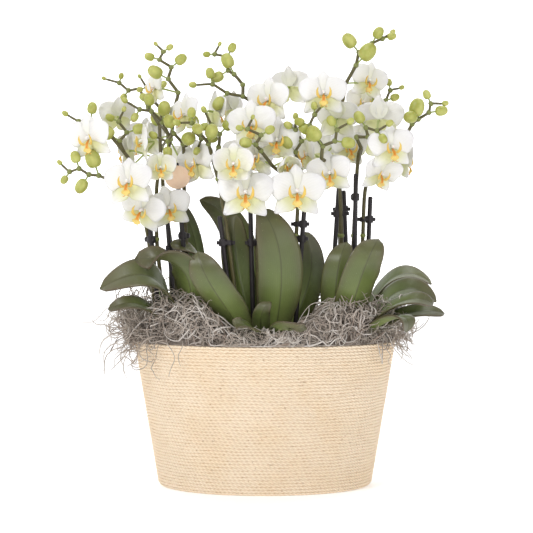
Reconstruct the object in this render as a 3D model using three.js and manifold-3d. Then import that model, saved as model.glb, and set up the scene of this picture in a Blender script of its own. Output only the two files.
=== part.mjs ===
// White moth orchids in an oval basket wound from paper cord, dressed with dry moss.
// Millimetres, +Z up. The origin is under the middle of the basket's flat base and -Y is the front.
// Three plants stand in nursery pots inside the basket, over a water tub. Their flower spikes are
// clipped to black sticks, and each spike with its side shoots, buds and blooms is one solid.
import * as THREE from "three";
import { mergeVertices } from "three/addons/utils/BufferGeometryUtils.js";
import Module from "manifold-3d";

const wasm = await Module();
wasm.setup();

// Driving sizes
const GAP = 0.3; // clearance left between pieces that touch
const BASKET = { height: 152, rimX: 137.5, rimY: 85, baseX: 112, baseY: 69, wall: 5, floor: 6 };
const TUB = { height: 26, wall: 1.8, clear: 0.6 };
const DECK = { thick: 2.4, hole: 7 };
const POT = { topR: 40.5, baseR: 29, height: 78, wall: 1.6, hole: 6 };
const STICK_R = 2.4;
const CLIP = { long: 19, deep: 8, high: 5 };
const STEM_R = 2.2;
const SHOOT_R = 2;
const PEDICEL_R = 1;
const STEM_OFFSET = 6.2; // from a stick's axis to the axis of the stem clipped to it
const CROWN = { r: 11, top: 133, foot: 96 };
const PETAL_THICK = 0.9;
const STEM_HEIGHTS = [178, 222, 262]; // where a stem runs beside its stick, the last one at most
const BUD = { girth: 0.4, seat: 0.35, clear: 2 }; // radius and stalk as shares of its length
const LEAF = {
  foot: 115, // height at which the leaves leave the crown
  rise: { out: 16, up: 58 }, // the way they rise from it
  steps: 6,
  widest: 0.55, // share of the length
  footShare: 0.24, // width where it leaves the crown, as a share of the greatest
  fold: [0.42, 0.16], // from the foot to the tip
  rib: [4, 2.2], // thickness at the midrib, from the foot to the tip
  edge: 1.1,
};
const BARK = { crown: 2, rough: 3, wickR: 3 };
const MOSS = {
  inset: 1.2, // gap to the basket's inside
  spill: [141, 84], // half sizes where it lies on the rim
  bulge: [145, 84, 11], // half sizes and height of its edge over the rim
  ridge: [118, 64, 173],
  middle: 142, // height between the plants
  endRise: 1.3, // how much more it rises over the rim at the ends
  strandR: 1.3,
  loops: 11,
  hanging: 6,
};
const WELL = { footR: 33, topR: 54, height: 100 }; // the open space round each plant

// Heights that follow from them
const TUB_FOOT = BASKET.floor + GAP;
const DECK_FOOT = TUB_FOOT + TUB.height + GAP;
const POT_FOOT = DECK_FOOT + DECK.thick + GAP;
const POT_TOP = POT_FOOT + POT.height;
const BARK_TOP = POT_TOP - 5;
const MOSS_FOOT = POT_TOP + GAP;

const PLANTS = { left: [-80, 6], centre: [0, -14], right: [80, 6] };

// Sticks: the plant, the foot (x, y), the top (x, y, z) and the heights of its clips.
const STICKS = {
  stick_left_1: ["left", [-98, -2], [-122, -8, 292], [258]],
  stick_left_2: ["left", [-84, -22], [-103, -14, 300], [248]],
  stick_left_3: ["left", [-68, -15], [-91, -28, 337], [262]],
  stick_centre_1: ["centre", [-17, -30], [-46, -50, 282], [255]],
  stick_centre_2: ["centre", [-9, -37], [-15, -46, 300], [255]],
  stick_centre_3: ["centre", [22, -22], [41, -40, 300], [274, 259]],
  stick_right_1: ["right", [60, -8], [78, -5, 325], [285]],
  stick_right_2: ["right", [95, 23], [84, 25, 310], [290]],
  stick_right_3: ["right", [91, -15], [94, -20, 326], [302]],
  stick_right_4: ["right", [101, 6], [111, 5, 303], [279]],
};

// Spikes. stick: which stick, the side (degrees from +X) that the stem is clipped to, and the side of
// the crown it grows from.
// stem: the points it passes above the stick. shoots: the joints of each zigzag side shoot, then the
// first joint that bears a bud and the lengths of the first and last bud.
// blooms: middle x, y, z; the way it faces as yaw (0 is the front, 90 is +X), pitch and roll; width; cupping.
const SPIKES = {
  spike_left_1: {
    stick: ["stick_left_1", 125, 190],
    stem: [[-130, -25, 309], [-135, -35, 334], [-144, -32, 347]],
    shoots: [
      [[[-135, -35, 334], [-146, -48, 322], [-158, -50, 319], [-168, -50, 323], [-178, -50, 324], [-188, -49, 330],
        [-198, -47, 327], [-206, -45, 334]], 3, 19, 6],
      [[[-144, -32, 347], [-149, -30, 359], [-142, -28, 368], [-150, -28, 379], [-146, -26, 389]], 1, 17, 6],
      [[[-144, -32, 347], [-158, -31, 364], [-172, -28, 368], [-179, -25, 381], [-192, -22, 380], [-203, -20, 386]],
        2, 15, 7],
    ],
    blooms: [
      [-176, -58, 360, -22, -12, 6, 52, 0.1], [-154, -6, 386, -155, 20, 0, 44, 0.3],
      [-122, -42, 357, -78, 6, -12, 48, 0.1], [-136, -74, 315, -10, 8, 4, 54, 0],
      [-124, -56, 288, -14, -12, -20, 52, 0], [-106, -52, 330, 14, 8, 0, 38, 0.7],
      [-98, -40, 290, 8, -4, 12, 48, 0.1],
    ],
  },
  spike_left_2: {
    stick: ["stick_left_2", 75, 242],
    stem: [[-107, -9, 325], [-98, -12, 362], [-93, -15, 397]],
    shoots: [
      [[[-93, -15, 397], [-90, -15, 410], [-100, -16, 424], [-97, -16, 436], [-109, -16, 444], [-105, -17, 452],
        [-111, -17, 458]], 2, 16, 5],
      [[[-98, -12, 362], [-106, -18, 379], [-117, -22, 390], [-129, -24, 392], [-141, -26, 399]], 1, 16, 7],
    ],
    blooms: [[-116, 10, 417, -60, 0, 10, 42, 0.1], [-82, -36, 385, -48, 6, 8, 48, 0.1]],
  },
  spike_left_3: {
    stick: ["stick_left_1", 30, 160],
    stem: [[-114, 4, 312], [-111, 20, 342], [-113, 30, 380]],
    shoots: [
      [[[-113, 30, 380], [-110, 34, 395], [-119, 35, 406], [-116, 36, 417], [-127, 36, 421], [-133, 35, 430]],
        2, 11, 5],
      [[[-113, 30, 380], [-126, 42, 400], [-136, 47, 420], [-148, 50, 419], [-158, 50, 427], [-172, 50, 431]],
        3, 9, 5],
      [[[-111, 20, 342], [-112, 44, 356], [-106, 62, 370], [-116, 74, 384]], 3, 16, 14],
    ],
    blooms: [[-132, 76, 368, -150, 4, 0, 50, 0.1], [-92, 84, 343, 172, -6, 10, 50, 0.1],
      [-146, 24, 352, -105, 4, 0, 46, 0.2]],
  },
  spike_left_4: {
    stick: ["stick_left_3", 60, 292],
    stem: [[-84, -16, 345], [-76, -22, 362]],
    shoots: [
      [[[-84, -16, 345], [-84, -34, 356], [-93, -42, 366], [-99, -44, 358], [-109, -46, 362]], 1, 17, 9],
      [[[-76, -22, 362], [-72, -33, 368], [-65, -36, 361], [-68, -40, 352]], 1, 14, 9],
    ],
    blooms: [[-70, -30, 336, -42, -2, 6, 52, 0.1]],
  },
  spike_centre_1: {
    stick: ["stick_centre_1", 5, 215],
    stem: [[-44, -42, 300], [-48, -38, 320], [-53, -40, 339]],
    shoots: [
      [[[-53, -40, 339], [-57, -52, 355], [-65, -60, 365], [-73, -64, 375], [-84, -65, 375]], 1, 16, 8],
      [[[-53, -40, 339], [-47, -44, 352], [-46, -46, 365], [-54, -50, 374], [-60, -52, 386]], 2, 14, 7],
    ],
    blooms: [[-31, -84, 332, 0, 6, 0, 48, 0.6], [-19, -78, 304, 0, 6, 0, 59, 0],
      [-52, -14, 390, 118, 0, 0, 46, 0.2]],
  },
  spike_centre_2: {
    stick: ["stick_centre_2", 15, 255],
    stem: [[-6, -24, 318], [-2, -10, 345], [-1, -12, 382], [-11, -14, 399]],
    shoots: [
      [[[-11, -14, 399], [-23, -18, 406], [-39, -20, 409], [-54, -22, 418], [-70, -24, 417]], 2, 15, 8],
      [[[-23, -18, 406], [-23, -16, 418], [-32, -15, 429], [-38, -14, 433], [-39, -14, 447], [-52, -13, 450],
        [-48, -13, 458]], 2, 16, 5],
      [[[-2, -10, 345], [2, 24, 356], [8, 48, 372], [0, 64, 388]], 3, 16, 14],
    ],
    blooms: [[3, -34, 400, -26, 4, 0, 51, 0.1], [-13, -58, 373, -14, 2, 6, 53, 0],
      [26, 12, 418, 150, 10, 0, 48, 0.2], [-34, 14, 394, -125, 4, 0, 45, 0.2],
      [-24, 82, 350, 168, 0, 0, 50, 0.1], [22, 86, 362, -168, 2, 10, 50, 0.1]],
  },
  spike_centre_3: {
    stick: ["stick_centre_3", 170, 338],
    stem: [[33, -40, 303], [24, -45, 319], [8, -58, 332]],
    shoots: [
      [[[8, -58, 332], [-4, -68, 347], [-9, -74, 353], [-4, -76, 362], [-17, -78, 368], [-13, -78, 377]], 2, 13, 5],
      [[[33, -40, 303], [36, -38, 329], [31, -44, 347], [37, -48, 358], [31, -50, 369], [31, -50, 379]], 2, 14, 7],
    ],
    blooms: [[32, -76, 305, 0, 6, 0, 58, 0], [12, -48, 358, -4, 0, 0, 51, 0],
      [-9, -36, 342, -18, 0, -8, 46, 0.2], [21, -62, 334, 30, -26, 0, 33, 0.9]],
  },
  spike_right_1: {
    stick: ["stick_right_1", 350, 240],
    stem: [[76, -16, 328], [64, -40, 336], [57, -58, 340]],
    shoots: [
      [[[57, -58, 340], [58, -62, 352], [70, -64, 357], [72, -66, 368], [82, -66, 374]], 1, 17, 8],
      [[[58, -62, 352], [50, -58, 363], [45, -56, 373], [50, -55, 384], [56, -55, 391]], 1, 13, 6],
    ],
    blooms: [[66, -48, 325, -10, -6, 8, 49, 0.1], [86, -14, 353, 24, 0, 0, 47, 0.2],
      [75, -24, 382, 165, 16, 0, 50, 0.1], [45, -6, 346, -62, 0, 0, 44, 0.3]],
  },
  spike_right_2: {
    stick: ["stick_right_2", 165, 80],
    stem: [[79, 18, 340], [77, 2, 374], [84, -14, 420]],
    shoots: [
      [[[84, -14, 420], [94, -18, 438], [97, -19, 451], [110, -20, 460], [121, -20, 465], [129, -20, 470]],
        1, 20, 6],
      [[[79, 18, 340], [90, 40, 358], [88, 60, 374], [96, 72, 388]], 3, 16, 14],
    ],
    blooms: [[59, -50, 405, 0, 8, 0, 52, 0], [109, 8, 424, 16, 0, -14, 45, 0.1],
      [68, 84, 352, 178, 0, 0, 50, 0.1], [112, 80, 366, 150, 2, 0, 50, 0.1]],
  },
  spike_right_3: {
    stick: ["stick_right_3", 100, 300],
    stem: [[96, -18, 338], [98, -38, 352]],
    shoots: [
      [[[98, -38, 352], [93, -46, 362], [104, -50, 362], [102, -52, 371], [113, -54, 368], [122, -55, 373]],
        3, 13, 8],
      [[[96, -18, 338], [107, 4, 372], [117, 15, 394], [128, 18, 405], [133, 20, 416], [142, 20, 418]], 2, 12, 6],
    ],
    blooms: [[118, -20, 381, 168, 12, 0, 53, 0.1], [104, 24, 403, 20, 0, 0, 43, 0.2]],
  },
  spike_right_4: {
    stick: ["stick_right_4", 180, 358],
    stem: [[106, -2, 315], [124, -14, 342], [144, -18, 362]],
    shoots: [
      [[[144, -18, 362], [152, -20, 377], [158, -22, 382], [169, -22, 389], [171, -22, 398], [182, -22, 398]],
        1, 19, 7],
    ],
    blooms: [[128, -50, 351, 12, 0, 4, 51, 0], [118, -34, 326, 26, -22, -8, 47, 0.2],
      [148, 30, 340, 104, 0, 0, 47, 0.2]],
  },
};

// Leaves: the plant, the side of the crown they grow from and the side their underside looks to
// (degrees from +X), how far the blade rolls sideways (degrees), a point halfway along the midrib,
// the tip, and the greatest width.
const LEAVES = {
  leaf_left_1: ["left", 208, 205, -38, [-102, -36, 202], [-168, -46, 208], 46],
  leaf_left_2: ["left", 262, 240, -8, [-74, -52, 204], [-132, -50, 238], 44],
  leaf_left_3: ["left", 60, 300, 30, [-72, 34, 224], [-102, 14, 298], 20],
  leaf_left_4: ["left", 215, 215, -35, [-112, -42, 182], [-158, -60, 188], 22],
  leaf_left_5: ["left", 150, 160, 0, [-118, 36, 200], [-146, 52, 214], 38],
  leaf_left_6: ["left", 95, 96, 0, [-84, 54, 204], [-86, 92, 214], 42],
  leaf_centre_1: ["centre", 292, 280, 0, [16, -60, 206], [-4, -66, 290], 46],
  leaf_centre_2: ["centre", 232, 258, 0, [-38, -66, 190], [-66, -74, 246], 38],
  leaf_centre_3: ["centre", 190, 230, -35, [-44, -24, 206], [-98, -24, 254], 28],
  leaf_centre_4: ["centre", 160, 262, 0, [-20, 2, 222], [-69, 6, 300], 34],
  leaf_centre_5: ["centre", 240, 272, 0, [-23, -40, 206], [-30, -36, 284], 32],
  leaf_centre_6: ["centre", 340, 282, 0, [40, -14, 196], [40, -6, 266], 32],
  leaf_centre_7: ["centre", 268, 262, 0, [-4, -58, 172], [5, -72, 196], 18],
  leaf_centre_8: ["centre", 290, 320, -25, [14, -78, 168], [40, -96, 171], 20],
  leaf_centre_9: ["centre", 262, 225, -25, [-10, -76, 168], [-32, -92, 177], 18],
  leaf_centre_10: ["centre", 112, 104, 0, [-20, 38, 204], [-26, 88, 214], 42],
  leaf_centre_11: ["centre", 64, 70, 0, [26, 34, 200], [34, 88, 214], 40],
  leaf_right_1: ["right", 276, 286, 0, [90, -58, 200], [114, -62, 258], 38],
  leaf_right_2: ["right", 250, 262, 0, [72, -38, 198], [84, -34, 256], 32],
  leaf_right_3: ["right", 10, 350, 25, [120, 8, 200], [176, 2, 211], 32],
  leaf_right_4: ["right", 340, 340, 38, [122, -22, 192], [177, -28, 194], 34],
  leaf_right_5: ["right", 318, 330, 30, [120, -48, 184], [170, -60, 194], 24],
  leaf_right_6: ["right", 330, 345, 30, [128, -32, 175], [183, -44, 183], 24],
  leaf_right_7: ["right", 306, 312, 0, [120, -62, 176], [140, -84, 167], 24],
  leaf_right_8: ["right", 72, 70, 0, [98, 50, 204], [118, 88, 208], 42],
};

// Where the blank label sits on its stick: the height of its middle and its half sizes.
const LABEL = { stick: "stick_left_3", z: 322, halfX: 13, halfZ: 12, thick: 1.6 };

const vec = (p) => new THREE.Vector3(...p);
const radians = THREE.MathUtils.degToRad;
const steady = (n) => Math.sin(n * 127.1 + 311.7) * 43758.5453;
const random = (n) => steady(n) - Math.floor(steady(n)); // the same 0 to 1 for the same n

// The edge of a bloom from the tip of its top sepal down its right side: degrees from the top, reach
// as a share of the width, and how far it stands forward as a share of the width.
const BLOOM_EDGE = [
  [0, 0.46, -0.03], [20, 0.4, -0.03], [29, 0.25, 0], [47, 0.47, 0.03], [70, 0.52, 0.04], [93, 0.43, 0.03],
  [107, 0.24, 0], [118, 0.37, -0.04], [131, 0.45, -0.05], [145, 0.37, -0.04], [180, 0.11, 0],
];

// The edge of the lip from the column's tip down its right side: across, up and forward as shares of
// the bloom's width. The second point is a side lobe, and the last is the tip.
const LIP_EDGE = [[0, 0.04, 0.15], [0.11, -0.06, 0.17], [0.05, -0.2, 0.12], [0, -0.27, 0.15]];

// A closed three.js geometry as a solid for joining and cutting.
function solid(geometry) {
  const bare = new THREE.BufferGeometry();
  bare.setAttribute("position", (geometry.index ? geometry.toNonIndexed() : geometry).attributes.position);
  const merged = mergeVertices(bare, 1e-4);
  const corners = merged.index.array;
  const kept = [];
  for (let i = 0; i < corners.length; i += 3) {
    const [a, b, c] = corners.subarray(i, i + 3);
    if (a !== b && b !== c && a !== c) kept.push(a, b, c);
  }
  const vertProperties = merged.attributes.position.array;
  const make = (tris) => new wasm.Manifold(new wasm.Mesh({ numProp: 3, vertProperties, triVerts: new Uint32Array(tris) }));
  const made = make(kept);
  return made.volume() < 0 ? make(kept.reverse()) : made;
}

const joined = (solids) => wasm.Manifold.union(solids);

// Moves each vertex of a geometry by a formula that takes and returns a point.
function reshape(geometry, formula) {
  const at = geometry.attributes.position;
  for (let i = 0; i < at.count; i++) {
    const p = formula(at.getX(i), at.getY(i), at.getZ(i));
    at.setXYZ(i, p.x, p.y, p.z);
  }
  return geometry;
}

// A curve that passes its joints at even steps, so that a zigzag keeps its corners.
class JointCurve extends THREE.CatmullRomCurve3 {
  getSpacedPoints(n) {
    return this.getPoints(n);
  }
  getTangentAt(u) {
    return this.getTangent(u);
  }
}

function section(radius, sides) {
  const corners = Array.from({ length: sides }, (_, i) => {
    const turn = (2 * Math.PI * i) / sides;
    return new THREE.Vector2(radius * Math.cos(turn), radius * Math.sin(turn));
  });
  return new THREE.Shape(corners);
}

function tube(points, radius, sides, stepsPerJoint) {
  const steps = (points.length - 1) * stepsPerJoint;
  const options = { steps, bevelEnabled: false, extrudePath: new JointCurve(points) };
  return solid(new THREE.ExtrudeGeometry(section(radius, sides), options));
}

// A round profile of [halfX, halfY, z] rows turned into an oval body. It starts and ends on the axis,
// or closes on itself round a hole.
function oval(rows, segments, shape = (x, y, z) => vec([x, y, z])) {
  const profile = rows.map((row, i) => new THREE.Vector2(row[0], i));
  const geometry = new THREE.LatheGeometry(profile, segments);
  return solid(reshape(geometry, (x, y, z) => {
    const [halfX, halfY, height] = rows[Math.round(y)];
    const turn = Math.round((Math.atan2(x, z) / (2 * Math.PI)) * segments) * ((2 * Math.PI) / segments);
    return shape(halfX * Math.cos(turn), halfY * Math.sin(turn), height);
  }));
}

function placed(geometry, at, direction) {
  const turn = new THREE.Quaternion().setFromUnitVectors(vec([0, 1, 0]), direction.clone().normalize());
  return solid(geometry.clone().applyQuaternion(turn).translate(at.x, at.y, at.z));
}

// Half width and half depth of the basket's outside at a height.
function basketHalf(z) {
  const share = z / BASKET.height;
  return [
    THREE.MathUtils.lerp(BASKET.baseX, BASKET.rimX, share),
    THREE.MathUtils.lerp(BASKET.baseY, BASKET.rimY, share),
  ];
}

function ring(z, inset) {
  const [x, y] = basketHalf(z);
  return [x - inset, y - inset, z];
}

function basket() {
  const corner = 4;
  return oval([
    [0, 0, 0], ring(0, corner), ring(corner, 0), ring(BASKET.height - 2, 0), ring(BASKET.height, 1.5),
    ring(BASKET.height, BASKET.wall), ring(BASKET.floor, BASKET.wall), [0, 0, BASKET.floor],
  ], 36);
}

function waterTub() {
  const out = BASKET.wall + TUB.clear;
  const top = TUB_FOOT + TUB.height;
  return oval([
    [0, 0, TUB_FOOT], ring(TUB_FOOT, out + 2), ring(top, out), ring(top, out + TUB.wall),
    ring(TUB_FOOT + TUB.wall, out + TUB.wall + 2), [0, 0, TUB_FOOT + TUB.wall],
  ], 24);
}

function deck() {
  const out = BASKET.wall + TUB.clear;
  const top = DECK_FOOT + DECK.thick;
  const plate = oval([[0, 0, DECK_FOOT], ring(DECK_FOOT, out), ring(top, out), [0, 0, top]], 24);
  const holes = Object.values(PLANTS).map(([x, y]) => {
    const drill = new THREE.CylinderGeometry(DECK.hole, DECK.hole, 3 * DECK.thick, 6);
    return placed(drill, vec([x, y, DECK_FOOT]), vec([0, 0, 1]));
  });
  return plate.subtract(joined(holes));
}

function lathe([x, y], profile, segments) {
  return oval(profile.map(([r, z]) => [r, r, z]), segments, (px, py, pz) => vec([px + x, py + y, pz]));
}

function pot(plant) {
  const { topR, baseR, wall, hole } = POT;
  return lathe(PLANTS[plant], [
    [hole, POT_FOOT], [baseR, POT_FOOT], [topR, POT_TOP], [topR - wall, POT_TOP],
    [baseR - wall, POT_FOOT + wall], [hole, POT_FOOT + wall], [hole, POT_FOOT],
  ], 12);
}

// Bark chips packed in the pot, with the wick that hangs through the pot's hole into the tub.
function bark(plant) {
  const clear = POT.wall + GAP;
  const foot = POT_FOOT + clear;
  const wickFoot = TUB_FOOT + TUB.wall + 2;
  const [x, y] = PLANTS[plant];
  const rows = [[0, wickFoot], [BARK.wickR, wickFoot], [BARK.wickR, foot], [POT.baseR - clear - 1, foot],
    [POT.topR - clear - 1.2, BARK_TOP], [0, BARK_TOP + BARK.crown]];
  return oval(rows.map(([r, z]) => [r, r, z]), 12, (px, py, pz) => {
    const rough = pz > BARK_TOP - 1 ? BARK.rough * (random(px * 3.1 + py * 1.7) - 0.5) : 0;
    return vec([px + x, py + y, pz + rough]);
  });
}

// The plant's short woody stem, sunk in the bark.
function crown(plant, grow) {
  const [x, y] = PLANTS[plant];
  const { r, top, foot } = CROWN;
  return lathe([x, y], [[0, foot - grow], [r - 1 + grow, foot - grow], [r + grow, BARK_TOP + 4],
    [r - 2 + grow, top - 3], [0, top + grow]], 8);
}

const stickFoot = (name) => vec([...STICKS[name][1], POT_FOOT + POT.wall + 8]);
const stickTop = (name) => vec(STICKS[name][2]);

function onStick(name, z) {
  const foot = stickFoot(name);
  const top = stickTop(name);
  return foot.lerp(top, (z - foot.z) / (top.z - foot.z));
}

const compass = (degrees) => vec([Math.cos(radians(degrees)), Math.sin(radians(degrees)), 0]);

// A spike's stem: out of the plant, up beside its stick, and on past the stick's top.
function stemPoints(spike) {
  const [name, side, root] = spike.stick;
  const beside = compass(side).multiplyScalar(STEM_OFFSET);
  const [x, y] = PLANTS[STICKS[name][0]];
  const [low, high, last] = STEM_HEIGHTS;
  const along = [low, high, Math.min(STICKS[name][3][0], last)].map((z) => onStick(name, z).add(beside));
  const start = vec([x, y, CROWN.top - 13]).addScaledVector(compass(root), CROWN.r - 1);
  const knee = start.clone().lerp(along[0], 0.4).addScaledVector(compass(root), 3);
  return [start, knee, ...along, ...spike.stem.map(vec)];
}

// The frame of a bloom: right, up towards the top sepal, and out of its face.
function bloomFrame([x, y, z, yaw, pitch, roll]) {
  const turn = new THREE.Euler(radians(-pitch), radians(yaw), radians(roll), "YXZ");
  const upright = new THREE.Matrix4().makeBasis(vec([1, 0, 0]), vec([0, 0, 1]), vec([0, -1, 0]));
  const turned = upright.multiply(new THREE.Matrix4().makeRotationFromEuler(turn));
  return new THREE.Matrix4().makeTranslation(x, y, z).multiply(turned);
}

// The five petals and sepals of a bloom of width w in one lobed plate. Cupping turns their tips forward.
function bloomFace(w, cup, grow) {
  const right = BLOOM_EDGE.map(([degrees, share, forward]) => {
    const fold = 3 * cup * (share - 0.2);
    const reach = share * w * Math.cos(fold) + grow;
    const turn = radians(degrees);
    return vec([reach * Math.sin(turn), reach * Math.cos(turn), forward * w + share * w * Math.sin(fold)]);
  });
  const left = right.slice(1, -1).reverse().map((p) => vec([-p.x, p.y, p.z]));
  const edge = [...right, ...left];
  const outline = new THREE.Shape(edge.map((p) => new THREE.Vector2(p.x, p.y)));
  const thick = PETAL_THICK + 2 * grow;
  const face = new THREE.ExtrudeGeometry(outline, { depth: thick, bevelEnabled: false });
  return reshape(face, (x, y, z) => {
    const corner = edge.find((p) => Math.hypot(p.x - x, p.y - y) < 1e-3);
    return vec([x, y, corner.z + z - thick / 2]);
  });
}

// The lip and column of a bloom: a lobed funnel that grows out of the middle of the face.
function bloomLip(w, grow) {
  const half = LIP_EDGE.length - 1;
  const funnel = new THREE.CylinderGeometry(1, 1, PETAL_THICK + 2 * grow, 2 * half, 1);
  return reshape(funnel, (x, y, z) => {
    if (Math.hypot(x, z) < 0.5) return vec([0, -0.03 * w, y < 0 ? -0.4 - grow : 0.06 * w + grow]);
    const k = Math.round((Math.atan2(x, z) * half) / Math.PI);
    const [across, up, forward] = LIP_EDGE[Math.abs(k)].map((share) => share * w);
    const spread = 1 + grow / Math.hypot(across, up, forward);
    return vec([Math.sign(k) * across * spread, up * spread, forward + y + grow]);
  });
}

function bloom(row, grow) {
  const [w, cup] = row.slice(6);
  const frame = bloomFrame(row);
  return joined([bloomFace(w, cup, grow), bloomLip(w, grow)].map((g) => solid(g.applyMatrix4(frame))));
}

// The joint of the spike nearest to a point a little behind and below the bloom.
function nearestJoint(joints, row) {
  const behind = vec([0, -6, -16]).applyMatrix4(bloomFrame(row));
  return joints.reduce((best, p) => (p.distanceTo(behind) < best.distanceTo(behind) ? p : best));
}

function pedicel(from, to, back, grow) {
  const bend = to.clone().addScaledVector(back, Math.min(9, 0.4 * from.distanceTo(to)));
  return tube([from, bend, to], PEDICEL_R + grow, 3, 1);
}

// Buds stand on the outer side of each bend of a shoot and shrink towards its tip.
function budsOf([joints, first, longest, shortest]) {
  const points = joints.map(vec);
  return points.slice(first).map((p, i, bearing) => {
    const k = first + i;
    const last = k === points.length - 1;
    const along = p.clone().sub(points[k - 1]).normalize();
    const outer = last ? along.clone() : p.clone().sub(points[k - 1].clone().lerp(points[k + 1], 0.5)).normalize();
    const length = THREE.MathUtils.lerp(longest, shortest, bearing.length > 1 ? i / (bearing.length - 1) : 0);
    const way = outer.multiplyScalar(1.1).addScaledVector(along, 0.5).add(vec([0, -0.25, 0.15])).normalize();
    const seat = p.clone().addScaledVector(way, last ? 0.5 : BUD.seat * length + BUD.clear);
    return { p, way, length, seat };
  });
}

function bud({ p, way, length, seat }, grow) {
  const stalk = p.distanceTo(seat);
  const profile = [[0, -grow], [0.6 * PEDICEL_R + grow, -grow], [PEDICEL_R + grow, stalk],
    [BUD.girth * length + grow, stalk + 0.5 * length], [0, stalk + length + grow]];
  const sides = length > 15 ? 5 : 4;
  return placed(new THREE.LatheGeometry(profile.map(([r, h]) => new THREE.Vector2(r, h)), sides), p, way);
}

// A whole spike in one solid: stem, zigzag shoots, stalks, buds and blooms.
function spike(row, grow = 0) {
  const stem = stemPoints(row);
  const shoots = row.shoots.map(([joints]) => joints.map(vec));
  const joints = [...stem.slice(5), ...shoots.flatMap((s) => s.slice(0, -1))];
  const stalks = row.blooms.map((b) => {
    const back = vec([0, 0, -1]).transformDirection(bloomFrame(b));
    const end = vec([0, 0, 0]).applyMatrix4(bloomFrame(b));
    return pedicel(nearestJoint(joints, b), end, back, grow);
  });
  return joined([
    tube(stem, STEM_R + grow, 4, 1),
    ...shoots.map((s) => tube(s, SHOOT_R + grow, 3, 1)),
    ...row.shoots.flatMap((s) => budsOf(s).map((b) => bud(b, grow))),
    ...stalks,
    ...row.blooms.map((b) => bloom(b, grow)),
  ]);
}

// A stick with its clips, each a bar that takes in the stick and the stem beside it.
function stick(name, grow = 0) {
  const foot = stickFoot(name);
  const top = stickTop(name);
  const parts = [tube([foot, top], STICK_R + grow, 6, 1)];
  const [{ stick: [, side] }] = Object.values(SPIKES).filter((s) => s.stick[0] === name);
  STICKS[name][3].forEach((z) => {
    const bar = new THREE.BoxGeometry(CLIP.long + 2 * grow, CLIP.deep + 2 * grow, CLIP.high + 2 * grow);
    bar.translate(STEM_OFFSET / 2, 0, 0).rotateZ(radians(side)).translate(...onStick(name, z));
    parts.push(solid(bar));
  });
  return joined(parts);
}

// A blank rounded label in front of its stick, with the tongue that clips round the stick.
function label() {
  const at = onStick(LABEL.stick, LABEL.z).add(vec([0, -STICK_R - LABEL.thick - 0.6, 0]));
  const plate = new THREE.CylinderGeometry(1, 1, LABEL.thick, 12).scale(LABEL.halfX, 1, LABEL.halfZ);
  const tongue = new THREE.BoxGeometry(9, 7, 4).translate(at.x, at.y + 3.5, at.z - 4);
  return joined([solid(plate.translate(...at)), solid(tongue)]);
}

// A leaf: a thin board bent along its midrib and folded a little along it, both faces alike. It is
// narrow where it leaves the crown, rises first, and turns from the side it grows from to the side
// it faces.
function leaf([plant, root, facing, roll, middle, tip, width], grow = 0) {
  const [x, y] = PLANTS[plant];
  const twist = ((root - facing + 450) % 180) - 90;
  const base = vec([x, y, LEAF.foot]).addScaledVector(compass(root), CROWN.r - 2);
  const knee = base.clone().addScaledVector(compass(root), LEAF.rise.out).add(vec([0, 0, LEAF.rise.up]));
  const pull = vec(middle).multiplyScalar(8).sub(base).addScaledVector(knee, -3).sub(vec(tip)).divideScalar(3);
  const rib = new THREE.CubicBezierCurve3(base, knee, pull, vec(tip));
  const board = new THREE.BoxGeometry(1, 1, 1, 2, LEAF.steps, 1);
  return solid(reshape(board, (bx, by, bz) => {
    const t = by + 0.5;
    const along = rib.getTangent(t);
    const turned = THREE.MathUtils.smoothstep(t, 0, 0.5);
    const across = compass(facing + 90 + twist * (1 - turned));
    across.z = Math.tan(radians(roll)) * turned;
    across.normalize();
    across.addScaledVector(along, -across.dot(along)).normalize();
    const face = across.clone().cross(along);
    const past = Math.max(0, t - LEAF.widest) / (1 - LEAF.widest);
    const opened = THREE.MathUtils.smoothstep(t, 0, LEAF.widest);
    const swell = THREE.MathUtils.lerp(LEAF.footShare, 1, opened) * Math.sqrt(Math.max(0.05, 1 - past ** 2.4));
    const half = bx * (width * swell + 2 * grow);
    const fold = THREE.MathUtils.lerp(...LEAF.fold, t) * Math.abs(half);
    const thick = (bx === 0 ? THREE.MathUtils.lerp(...LEAF.rib, t) : LEAF.edge) + 2 * grow;
    const end = by === 0.5 ? grow : by === -0.5 ? -grow : 0;
    return rib.getPoint(t).addScaledVector(along, end).addScaledVector(across, half)
      .addScaledVector(face, -fold + bz * thick);
  }));
}

// The moss: a lumpy oval mound in the basket's mouth, higher at both ends, that spills over the rim
// there, with coarse strands looped out of it and hanging at the ends.
function mossMound() {
  const inside = BASKET.wall + MOSS.inset;
  const rim = BASKET.height + GAP;
  const [bulgeX, bulgeY, bulgeZ] = MOSS.bulge;
  const rows = [
    [0, 0, MOSS_FOOT], ring(MOSS_FOOT, inside), ring(rim, inside), [...MOSS.spill, rim], [bulgeX, bulgeY, rim + bulgeZ],
    MOSS.ridge, [0, 0, MOSS.middle],
  ];
  return oval(rows, 26, (x, y, z) => {
    if (z < rim + 1) return vec([x, y, z]);
    const end = Math.min(1, Math.abs(x) / 105) ** 2;
    const lump = 5 * random(x * 0.71 + y * 1.93 + z) - 2;
    return vec([x, y, z + end * MOSS.endRise * Math.min(18, z - rim) + lump]);
  });
}

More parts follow.
